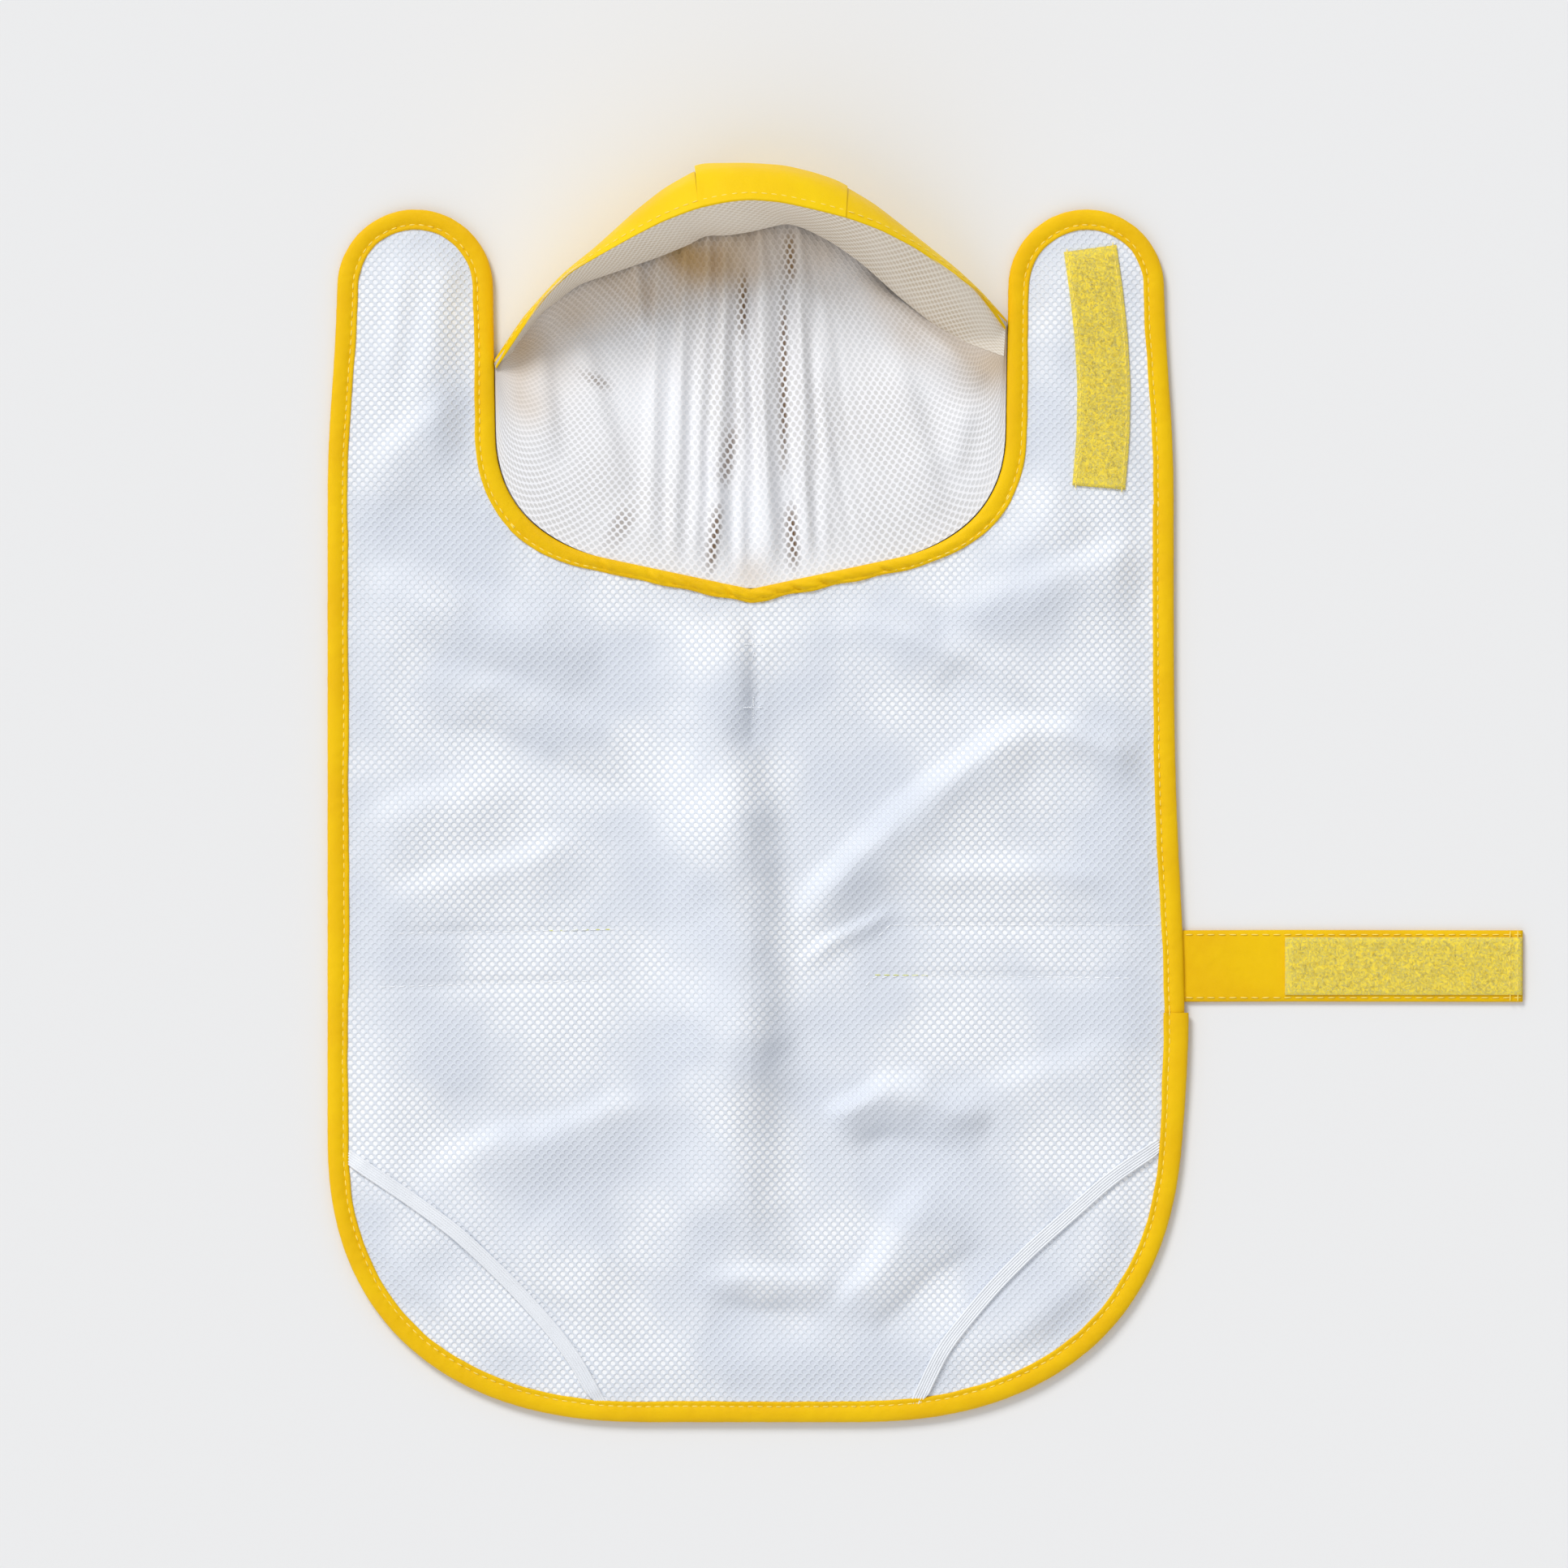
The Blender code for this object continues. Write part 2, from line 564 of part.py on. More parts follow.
def hinges():
    """Every fold's axis, with the panels that it carries."""
    for side in SIGN:
        top, bottom, _ = fold_line(side)
        middle = (top + bottom) / 2
        flank = hinge(f"{side}_flank_hinge", None, (middle.x, middle.y, FOLD_Z),
                      f"{side}_flank", f"{side}_side", f"{side}_belly_tape",
                      *(("lapped", "strap_anchor") if side == "right" else ()))
        tab_x = SIGN[side] * (TAB_INNER_X + TAB_WIDTH / 2)
        hinge(f"{side}_tab_hinge", flank, (tab_x, TAB_FOLD_Y[side], FOLD_Z), f"{side}_tab")
        start, end = elastic_ends(side)
        seam = (start + end) / 2 - elastic_inward(side) * ELASTIC_WIDTH / 2
        hinge(f"{side}_elastic_hinge", flank, (seam.x, seam.y, INNER_TAPE_Z), f"{side}_leg")
    place = (COAT_HALF_WIDTH + side_pull(STRAP_Y) + EDGE_CLEARANCE, STRAP_Y, STRAP_FOLD_Z)
    hinge("strap_hinge", bpy.data.objects["right_flank_hinge"], place,
          "strap_outer", "strap_inner", "strap_tape")
    hinge("hood_hinge", None, (0, HOOD_FOLD_Y, FOLD_Z),
          "hood_left", "hood_crown", "hood_right", "hood_facing")


# ---------------------------------------------------------------- build

clear_scene()
PARTS = bpy.data.collections.new("dog_rain_coat")
bpy.context.scene.collection.children.link(PARTS)
coat_panels()
tapes()
leg_elastics()
strap()
hood_base()
hood_crown()
hinges()
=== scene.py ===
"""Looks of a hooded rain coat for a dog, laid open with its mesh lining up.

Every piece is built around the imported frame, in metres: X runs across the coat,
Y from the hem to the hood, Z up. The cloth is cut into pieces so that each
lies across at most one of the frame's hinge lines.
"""
from __future__ import annotations

import json
import logging
import math
from collections.abc import Callable
from dataclasses import dataclass
from enum import Enum

import bmesh
import bpy
import numpy as np
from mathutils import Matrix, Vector, noise
from mathutils.geometry import delaunay_2d_cdt


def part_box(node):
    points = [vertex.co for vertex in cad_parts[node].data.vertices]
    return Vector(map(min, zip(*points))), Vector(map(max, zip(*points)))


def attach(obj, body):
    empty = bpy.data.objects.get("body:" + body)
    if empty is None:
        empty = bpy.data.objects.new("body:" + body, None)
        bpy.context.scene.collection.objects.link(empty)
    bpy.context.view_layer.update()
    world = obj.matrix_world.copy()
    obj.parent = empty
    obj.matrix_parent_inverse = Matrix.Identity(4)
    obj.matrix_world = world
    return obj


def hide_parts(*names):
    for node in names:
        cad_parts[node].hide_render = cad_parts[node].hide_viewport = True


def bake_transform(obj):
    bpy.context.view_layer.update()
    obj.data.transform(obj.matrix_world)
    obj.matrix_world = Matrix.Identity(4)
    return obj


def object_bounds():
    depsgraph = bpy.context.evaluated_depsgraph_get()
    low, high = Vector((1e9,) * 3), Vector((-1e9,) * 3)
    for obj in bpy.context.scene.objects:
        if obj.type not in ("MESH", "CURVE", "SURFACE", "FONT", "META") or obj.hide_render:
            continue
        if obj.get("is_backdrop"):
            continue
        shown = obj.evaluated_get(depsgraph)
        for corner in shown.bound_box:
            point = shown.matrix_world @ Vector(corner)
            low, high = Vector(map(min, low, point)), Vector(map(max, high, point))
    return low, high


LOG = logging.getLogger("rain_coat")
MM = 0.001
Point = tuple[float, float]
Height = Callable[[np.ndarray, np.ndarray], np.ndarray]

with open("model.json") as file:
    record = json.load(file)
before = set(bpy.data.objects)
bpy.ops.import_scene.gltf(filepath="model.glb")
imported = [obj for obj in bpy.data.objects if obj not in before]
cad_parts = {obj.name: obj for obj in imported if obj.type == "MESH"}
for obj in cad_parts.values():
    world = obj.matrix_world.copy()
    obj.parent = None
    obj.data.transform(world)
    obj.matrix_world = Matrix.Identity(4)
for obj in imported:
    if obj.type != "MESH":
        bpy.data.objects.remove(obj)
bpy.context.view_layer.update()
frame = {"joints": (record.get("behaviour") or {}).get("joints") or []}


class Side(Enum):
    """The coat's two sides, as it lies."""

    LEFT = "left"
    RIGHT = "right"

    @property
    def sign(self) -> int:
        """Minus one on the left, plus one on the right."""
        return -1 if self is Side.LEFT else 1


class Slot(Enum):
    """The record's material slots."""

    SHELL = "coated_shell"
    LINING = "mesh_lining"
    BINDING = "binding"
    TAPE = "hook_and_loop"
    ELASTIC = "elastic"


def joint(name: str) -> dict:
    """The frame's joint of that name.

    Args:
        name: the joint's name in the record.

    Returns:
        The joint's entry, with its place and axis.
    """
    return next(entry for entry in frame["joints"] if entry["name"] == name)


def smooth(low: float, high: float, value: np.ndarray) -> np.ndarray:
    """A smooth step from 0 at low to 1 at high.

    Args:
        low: where the step starts.
        high: where it ends.
        value: the values to map.

    Returns:
        The mapped values, from 0 to 1.
    """
    t = np.clip((value - low) / (high - low), 0.0, 1.0)
    return t * t * (3 - 2 * t)


def cubic(p0: Point, p1: Point, p2: Point, p3: Point, count: int) -> list[Point]:
    """Points along a cubic curve, without its first point.

    Args:
        p0: the start.
        p1: the first handle.
        p2: the second handle.
        p3: the end.
        count: how many points.

    Returns:
        The points, the end included.
    """
    t = np.linspace(0, 1, count + 1)[1:, None]
    a, b, c, d = (np.array(p) for p in (p0, p1, p2, p3))
    curve = a * (1 - t) ** 3 + b * 3 * t * (1 - t) ** 2 + c * 3 * t * t * (1 - t) + d * t ** 3
    return [tuple(p) for p in curve]


def run_along(line: np.ndarray) -> np.ndarray:
    """How far along a line each of its points is, in metres."""
    return np.concatenate([[0], np.cumsum(np.linalg.norm(np.diff(line, axis=0), axis=1))])


def placed_at(line: np.ndarray, at: np.ndarray) -> np.ndarray:
    """The places at set distances along a line.

    Args:
        line: one row a point.
        at: the distances, in metres.

    Returns:
        A row for each distance.
    """
    run = run_along(line)
    return np.stack([np.interp(at, run, line[:, k]) for k in range(line.shape[1])], axis=1)


def respaced(points: np.ndarray, pitch: float) -> np.ndarray:
    """A line's points set an even distance apart.

    Args:
        points: the line, one row a point.
        pitch: the distance wanted.

    Returns:
        The new rows, both ends kept.
    """
    line = np.asarray(points, float)
    length = run_along(line)[-1]
    return placed_at(line, np.linspace(0, length, max(2, int(round(length / pitch)) + 1)))


def eased(line: np.ndarray, times: int) -> np.ndarray:
    """A line with its kinks rounded, both ends kept.

    Args:
        line: one row a point, changed in place.
        times: how often each point moves towards its neighbours.

    Returns:
        The same rows.
    """
    for _ in range(times):
        line[1:-1] = (line[:-2] + line[1:-1] * 2 + line[2:]) / 4
    return line


def along_and_across(line: np.ndarray) -> tuple[np.ndarray, np.ndarray]:
    """The directions along a line and to its left.

    Args:
        line: rows of x and y.

    Returns:
        Two sets of unit rows.
    """
    along = np.gradient(line, axis=0)
    along /= np.linalg.norm(along, axis=1)[:, None]
    return along, np.stack([-along[:, 1], along[:, 0]], axis=1)


def waver(x: np.ndarray, y: np.ndarray, size: float, seed: float) -> np.ndarray:
    """Smooth noise over the plane.

    Args:
        x: the places' x.
        y: the places' y.
        size: how far apart its lumps are, in metres.
        seed: which noise.

    Returns:
        Values from about -1 to 1.
    """
    flat_x, flat_y = np.ravel(x), np.ravel(y)
    values = [noise.noise((a / size, b / size, seed)) for a, b in zip(flat_x, flat_y)]
    return np.reshape(values, np.shape(x))


# ------------------------------------------------------------------ the pattern


@dataclass(frozen=True)
class Pattern:
    """The coat's flat outline, from the frame's boxes and a few sizes of its own."""

    hem_y: float
    tip_y: float
    half_width: float = 0.198
    length: float = 0.390
    slope_run: float = 0.068
    slope: float = math.radians(12)
    neck_depth: float = 0.073
    tab_width: float = 0.073
    tab_lean: float = 0.0045
    shoulder_rise: float = 0.040
    corner_run: float = 0.152
    corner_rise: float = 0.135
    corner_power: float = 2.35
    pull: float = 0.005
    pull_spread: float = 0.085
    lap_rise: float = 0.1915
    fineness: float = 0.0022

    @property
    def neck_y(self) -> float:
        """The height of the neck point, at the centre back."""
        return self.hem_y + self.length

    @property
    def lap_y(self) -> float:
        """The height at which the binding's folded end laps its start."""
        return self.hem_y + self.lap_rise

    @property
    def tab_inner(self) -> float:
        """How far a tab's inner edge is from the centre."""
        return self.half_width - self.tab_lean - self.tab_width

    def half(self, side: Side) -> np.ndarray:
        """One half of the edge, from the neck point round to the hem's middle.

        Args:
            side: which half.

        Returns:
            Rows of x and y, evenly spaced.
        """
        corner = (self.slope_run, self.neck_y + self.slope_run * math.tan(self.slope))
        upright = (self.tab_inner - 0.001, self.neck_y + self.neck_depth)
        reach = 0.52 * (upright[0] - corner[0])
        points: list[Point] = [(0.0, self.neck_y), corner]
        points += cubic(corner, (corner[0] + reach * 1.1, corner[1] + reach * 1.1 * math.tan(self.slope)),
                        (upright[0], upright[1] - reach * 1.25), upright, 24)
        radius = self.tab_width / 2
        centre = (self.tab_inner + radius, self.tip_y - radius)
        points += [(centre[0] - radius * math.cos(a), centre[1] + radius * math.sin(a))
                   for a in np.linspace(0, math.pi, 48)]
        shoulder = (self.half_width, self.neck_y + self.shoulder_rise)
        drop = (centre[1] - shoulder[1]) * 0.4
        points += cubic(points[-1], (points[-1][0] + 0.001, centre[1] - drop),
                        (shoulder[0], shoulder[1] + drop), shoulder, 24)
        corner_y = self.hem_y + self.corner_rise
        points += [(self.half_width, y) for y in np.linspace(shoulder[1], corner_y, 60)[1:-1]]
        for a in np.linspace(0, math.pi / 2, 120):
            across = self.corner_run * math.cos(a) ** (2 / self.corner_power)
            points.append((self.half_width - self.corner_run + across,
                           corner_y - self.corner_rise * math.sin(a) ** (2 / self.corner_power)))
        points.append((0.0, self.hem_y))
        line = respaced(np.array(points), self.fineness)
        if side is Side.RIGHT:
            outer = line[:, 0] > self.tab_inner + radius
            line[:, 0] += outer * self.pull * np.exp(-((line[:, 1] - self.lap_y) / self.pull_spread) ** 2)
        line[:, 0] *= side.sign
        return line

    def outline(self) -> np.ndarray:
        """The whole edge, clockwise from the neck point."""
        return np.vstack([self.half(Side.RIGHT)[:-1], self.half(Side.LEFT)[:0:-1]])


def inward(line: np.ndarray, side: Side) -> np.ndarray:
    """The direction into the cloth at each point of a half's edge.

    Args:
        line: rows of x and y, from the neck point round to the hem's middle.
        side: which half.

    Returns:
        Unit rows of x and y.
    """
    _, across = along_and_across(line)
    return -across * side.sign


@dataclass(frozen=True)
class Folds:
    """The hinge lines of the frame, as lines in the plane."""

    softness: float = 6 * MM

    def flank(self, side: Side) -> tuple[np.ndarray, np.ndarray]:
        """A flank's fold.

        Args:
            side: which flank.

        Returns:
            A point on it, and the direction away from the back.
        """
        entry = joint(f"{side.value}_flank_fold")
        axis = np.array(entry["axis"])
        return np.array(entry["pos_m"]), np.array([-axis[1], axis[0], 0.0])

    def tab(self, side: Side) -> float:
        """The height of a tab's fold."""
        return joint(f"{side.value}_tab_fold")["pos_m"][1]

    @property
    def hood(self) -> float:
        """The height of the hood's fold."""
        return joint("hood_fold")["pos_m"][1]

    def bend_flank(self, piece: bpy.types.Object, side: Side) -> None:
        """Bake a piece's placement into its mesh; it is not bent.

        Args:
            piece: the piece.
            side: which flank; not used.
        """
        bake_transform(piece)

    def bend_tab(self, piece: bpy.types.Object, side: Side) -> None:
        """Bake a piece's placement into its mesh; it is not bent.

        Args:
            piece: the piece.
            side: which tab; not used.
        """
        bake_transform(piece)

    def bend_hood(self, piece: bpy.types.Object) -> None:
        """Bake a piece's placement into its mesh; it is not bent."""
        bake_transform(piece)

    def tab_split(self, side: Side) -> float:
        """Where a tab's pieces are cut from the flank's: just below the fold's soft zone."""
        return self.tab(side) - self.softness - 1 * MM


# ------------------------------------------------------------------ how the cloth lies


@dataclass(frozen=True)
class Fold:
    """A soft ridge, or a hollow where its height is negative, along a line; lengths in metres."""

    start: Point
    end: Point
    spread: float
    height: float
    lean: float = 0.35

    def rise(self, x: np.ndarray, y: np.ndarray) -> np.ndarray:
        """How much the fold adds at each place.

        Args:
            x: the places' x.
            y: the places' y.

        Returns:
            Heights in metres.
        """
        a, b = np.array(self.start), np.array(self.end)
        along = b - a
        reach = np.linalg.norm(along)
        t = ((x - a[0]) * along[0] + (y - a[1]) * along[1]) / reach ** 2
        near = np.clip(t, 0, 1)
        gap = np.hypot(x - a[0] - near * along[0], y - a[1] - near * along[1])
        beside = ((x - a[0]) * along[1] - (y - a[1]) * along[0]) / reach
        spread = self.spread * (1 + self.lean * np.tanh(beside / self.spread))
        ends = smooth(-0.22, 0.30, t) * (1 - smooth(0.70, 1.22, t))
        return self.height * ends * np.exp(-(gap / spread) ** 2)


COAT_FOLDS = (
    Fold((-0.014, 0.372), (-0.009, 0.250), 0.0166, 0.0098),
    Fold((-0.008, 0.290), (-0.005, 0.150), 0.0211, 0.0112),
    Fold((-0.005, 0.190), (-0.004, 0.070), 0.0205, 0.0090),
    Fold((0.002, 0.378), (0.002, 0.315), 0.0028, -0.0024),
    Fold((-0.176, 0.418), (-0.100, 0.392), 0.0192, -0.0041),
    Fold((-0.168, 0.384), (-0.080, 0.350), 0.0154, 0.0068),
    Fold((-0.150, 0.345), (-0.066, 0.314), 0.0109, 0.0046),
    Fold((-0.150, 0.322), (-0.060, 0.290), 0.0090, -0.0020),
    Fold((-0.180, 0.268), (-0.120, 0.292), 0.0141, 0.0041),
    Fold((-0.165, 0.236), (-0.080, 0.264), 0.0115, 0.0034),
    Fold((-0.160, 0.140), (-0.055, 0.132), 0.0154, -0.0017),
    Fold((-0.135, 0.114), (-0.048, 0.144), 0.0122, 0.0056),
    Fold((-0.110, 0.088), (-0.055, 0.066), 0.0141, 0.0032),
    Fold((0.028, 0.234), (0.075, 0.280), 0.0109, 0.0090),
    Fold((0.075, 0.280), (0.125, 0.320), 0.0102, 0.0081),
    Fold((0.125, 0.320), (0.186, 0.305), 0.0102, 0.0054),
    Fold((0.050, 0.374), (0.122, 0.340), 0.0115, 0.0056),
    Fold((0.100, 0.372), (0.182, 0.398), 0.0134, 0.0063),
    Fold((0.118, 0.432), (0.155, 0.408), 0.0166, 0.0049),
    Fold((0.086, 0.330), (0.112, 0.348), 0.0128, -0.0024),
    Fold((0.062, 0.262), (0.128, 0.298), 0.0154, 0.0032),
    Fold((0.026, 0.212), (0.066, 0.234), 0.0042, 0.0030),
    Fold((0.070, 0.256), (0.168, 0.250), 0.0090, 0.0032),
    Fold((0.040, 0.136), (0.074, 0.154), 0.0102, 0.0078),
    Fold((0.074, 0.154), (0.106, 0.136), 0.0109, 0.0068),
    Fold((0.055, 0.122), (0.095, 0.118), 0.0115, -0.0029),
    Fold((0.104, 0.146), (0.176, 0.162), 0.0128, 0.0029),
    Fold((-0.018, 0.046), (0.029, 0.043), 0.0102, -0.0034),
    Fold((-0.022, 0.062), (0.032, 0.064), 0.0087, 0.0049),
    Fold((0.063, 0.038), (0.105, 0.075), 0.0090, -0.0032),
    Fold((0.046, 0.052), (0.088, 0.100), 0.0122, 0.0063),
    Fold((-0.060, 0.034), (-0.148, 0.104), 0.0115, 0.0032),
    Fold((-0.180, 0.080), (-0.122, 0.030), 0.0102, 0.0024),
    Fold((0.178, 0.080), (0.120, 0.030), 0.0102, 0.0024),
    Fold((-0.152, 0.466), (-0.138, 0.552), 0.0115, 0.0032),
    Fold((-0.180, 0.440), (-0.132, 0.470), 0.0109, 0.0037),
    Fold((-0.172, 0.480), (-0.160, 0.540), 0.0077, 0.0020),
    Fold((0.134, 0.462), (0.138, 0.540), 0.0090, 0.0024),
    Fold((-0.163, 0.2240), (-0.066, 0.2258), 0.0030, -0.0012),
    Fold((-0.172, 0.1990), (-0.069, 0.2020), 0.0030, -0.0012),
    Fold((0.062, 0.2278), (0.186, 0.2278), 0.0030, -0.0012),
    Fold((0.060, 0.2046), (0.175, 0.2031), 0.0030, -0.0012),
)


@dataclass(frozen=True)
class Levels:
    """Heights of the shell's lower face and the lining's upper face at their edges, in metres."""

    shell: float
    lining: float


class Drape:
    """How high the lining and the shell lie over the flat coat."""

    def __init__(self, outline: np.ndarray, levels: Levels, folds: tuple[Fold, ...]) -> None:
        """Keep what the heights come from.

        Args:
            outline: the coat's edge.
            levels: the flat layers' heights.
            folds: the ridges and hollows.
        """
        self.outline, self.levels, self.folds = outline, levels, folds

    def from_edge(self, x: np.ndarray, y: np.ndarray) -> np.ndarray:
        """The distance of each place from the coat's edge.

        Args:
            x: the places' x.
            y: the places' y.

        Returns:
            Distances in metres.
        """
        places = np.stack([np.ravel(x), np.ravel(y)], axis=1)
        gaps = [np.min(np.hypot(self.outline[:, 0] - a, self.outline[:, 1] - b)) for a, b in places]
        return np.reshape(gaps, np.shape(x))

    def lift(self, x: np.ndarray, y: np.ndarray) -> np.ndarray:
        """How far the cloth stands up from lying flat.

        Args:
            x: the places' x.
            y: the places' y.

        Returns:
            Heights in metres.
        """
        edge = self.from_edge(x, y)
        rise = 0.0021 + 0.0012 * waver(x, y, 0.060, 3.7) + 0.0005 * waver(x, y, 0.022, 8.1)
        bent_x = x + 0.0062 * waver(x, y, 0.046, 11.3) + 0.0016 * waver(x, y, 0.014, 15.0)
        bent_y = y + 0.0062 * waver(x, y, 0.046, 21.9) + 0.0016 * waver(x, y, 0.014, 25.0)
        for fold in self.folds:
            rise = rise + (fold.rise(x, y) if fold.spread < 0.0035 else fold.rise(bent_x, bent_y))
        rise = 0.5 * (rise + np.sqrt(rise ** 2 + 0.0012 ** 2))
        pucker = 0.00045 * waver(x, y, 0.0055, 5.5) * np.exp(-((edge - 0.013) / 0.007) ** 2)
        return (rise + 0.00012 * waver(x, y, 0.009, 1.3)) * smooth(0.0085, 0.030, edge) + np.maximum(
            pucker * smooth(0.008, 0.011, edge), -0.0002)

    def lining(self, x: np.ndarray, y: np.ndarray) -> np.ndarray:
        """The height of the lining's upper face, in metres."""
        return self.levels.lining + self.lift(x, y)

    def shell(self, x: np.ndarray, y: np.ndarray) -> np.ndarray:
        """The height of the shell's lower face, in metres: it follows the folds less closely."""
        return self.levels.shell + 0.75 * self.lift(x, y)


# ------------------------------------------------------------------ meshes


def as_object(name: str, verts: np.ndarray, faces: list, uvs: np.ndarray | None = None) -> bpy.types.Object:
    """A smooth mesh object in the scene.

    Args:
        name: the piece's name.
        verts: rows of x, y and z.
        faces: each face's corner numbers.
        uvs: a flat place for each corner point, in metres, or None.

    Returns:
        The object, at the origin.
    """
    mesh = bpy.data.meshes.new(name)
    mesh.from_pydata([tuple(v) for v in verts], [], [tuple(f) for f in faces])
    mesh.validate()
    if uvs is not None:
        layer = mesh.uv_layers.new(name="flat")
        corners = np.empty(len(mesh.loops), dtype=np.int32)
        mesh.loops.foreach_get("vertex_index", corners)
        layer.data.foreach_set("uv", np.asarray(uvs, float)[corners].ravel())
    mesh.shade_smooth()
    item = bpy.data.objects.new(name, mesh)
    bpy.context.collection.objects.link(item)
    return item


def thicken(item: bpy.types.Object, thickness: float) -> bpy.types.Object:
    """Give a sheet its thickness behind its drawn face, with crisp rims so its shading runs on.

    Args:
        item: the sheet.
        thickness: in metres.

    Returns:
        The same object.
    """
    mesh = item.data
    uses = np.zeros(len(mesh.edges), np.int32)
    sides = np.empty(len(mesh.loops), np.int32)
    mesh.loops.foreach_get("edge_index", sides)
    np.add.at(uses, sides, 1)
    sharp = mesh.attributes.new("sharp_edge", "BOOLEAN", "EDGE")
    sharp.data.foreach_set("value", uses == 1)
    solid = item.modifiers.new("thickness", "SOLIDIFY")
    solid.thickness, solid.offset, solid.use_even_offset = thickness, -1.0, False
    return item


def paint(item: bpy.types.Object, material: bpy.types.Material, slot: Slot,
          *replaced: str) -> bpy.types.Object:
    """Finish a piece: its material, with the frame nodes it stands for hidden.

    Args:
        item: the piece.
        material: its finish.
        slot: the record's slot; not used.
        replaced: the nodes it stands for.

    Returns:
        The same object.
    """
    item.data.materials.clear()
    item.data.materials.append(material)
    if replaced:
        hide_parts(*replaced)
    LOG.info("%s: %d faces", item.name, len(item.data.polygons))
    return item


def filled(polygon: np.ndarray, pitch: float) -> tuple[np.ndarray, list]:
    """Triangles that fill a polygon.

    Args:
        polygon: rows of x and y.
        pitch: how far apart the inner points are.

    Returns:
        Rows of x and y, and the faces, all facing up.
    """
    rim: list[np.ndarray] = []
    for n in range(len(polygon)):
        a, b = polygon[n - 1], polygon[n]
        steps = max(1, int(round(np.linalg.norm(b - a) / pitch)))
        rim += [a + (b - a) * k / steps for k in range(1, steps + 1)]
    rim_line = np.array([p for n, p in enumerate(rim) if np.linalg.norm(p - rim[n - 1]) > 0.02 * MM])
    low, high = rim_line.min(0), rim_line.max(0)
    rows = np.arange(low[1], high[1], pitch * 0.87)
    inner = []
    for k, y in enumerate(rows):
        left, right = rim_line, np.roll(rim_line, -1, axis=0)
        crossing = (left[:, 1] > y) != (right[:, 1] > y)
        a, b = left[crossing], right[crossing]
        cuts = np.sort(a[:, 0] + (y - a[:, 1]) * (b[:, 0] - a[:, 0]) / (b[:, 1] - a[:, 1]))
        for x in np.arange(low[0] + (k % 2) * pitch / 2, high[0], pitch):
            if np.searchsorted(cuts, x) % 2:
                gap = np.min(np.hypot(rim_line[:, 0] - x, rim_line[:, 1] - y))
                if gap > 0.62 * pitch:
                    inner.append((x, y))
    points = [Vector(p) for p in rim_line] + [Vector(p) for p in inner]
    coords, _, faces, *_ = delaunay_2d_cdt(points, [], [list(range(len(rim_line)))], 1, 1e-7)
    flat = np.array([tuple(c) for c in coords])
    out = []
    for face in faces:
        a, b, c = (flat[i] for i in face)
        turn = (b[0] - a[0]) * (c[1] - a[1]) - (b[1] - a[1]) * (c[0] - a[0])
        out.append(tuple(face) if turn > 0 else tuple(reversed(face)))
    return flat, out


def swept(name: str, rows: np.ndarray, close_ends: bool = True, round_section: bool = True,
          uvs: bool = True) -> bpy.types.Object:
    """A skin through a row of sections.

    Args:
        name: the piece's name.
        rows: sections by points by x, y and z.
        close_ends: whether the first and last section get a face.
        round_section: whether each section runs back to its start.
        uvs: whether flat places, in metres, are kept.

    Returns:
        The object.
    """
    count, around = rows.shape[:2]
    faces = []
    for i in range(count - 1):
        for j in range(around if round_section else around - 1):
            k = (j + 1) % around
            faces.append((i * around + j, (i + 1) * around + j, (i + 1) * around + k, i * around + k))
    if close_ends and round_section:
        faces += [tuple(range(around)), tuple(range(count * around - 1, (count - 1) * around - 1, -1))]
    flat = None
    if uvs:
        run = np.concatenate([[0], np.cumsum(np.linalg.norm(np.diff(rows.mean(axis=1), axis=0), axis=1))])
        step = np.linalg.norm(np.diff(rows, axis=1), axis=2).mean(axis=0)
        wide = np.concatenate([[0], np.cumsum(step)])
        flat = np.stack(np.meshgrid(run, wide, indexing="ij"), axis=-1).reshape(-1, 2)
    return as_object(name, rows.reshape(-1, 3), faces, flat)


def facing_out(item: bpy.types.Object) -> bpy.types.Object:
    """Turn a closed piece's faces outward.

    Args:
        item: the piece.

    Returns:
        The same object.
    """
    work = bmesh.new()
    work.from_mesh(item.data)
    bmesh.ops.recalc_face_normals(work, faces=work.faces)
    work.to_mesh(item.data)
    work.free()
    return item


# ------------------------------------------------------------------ finishes


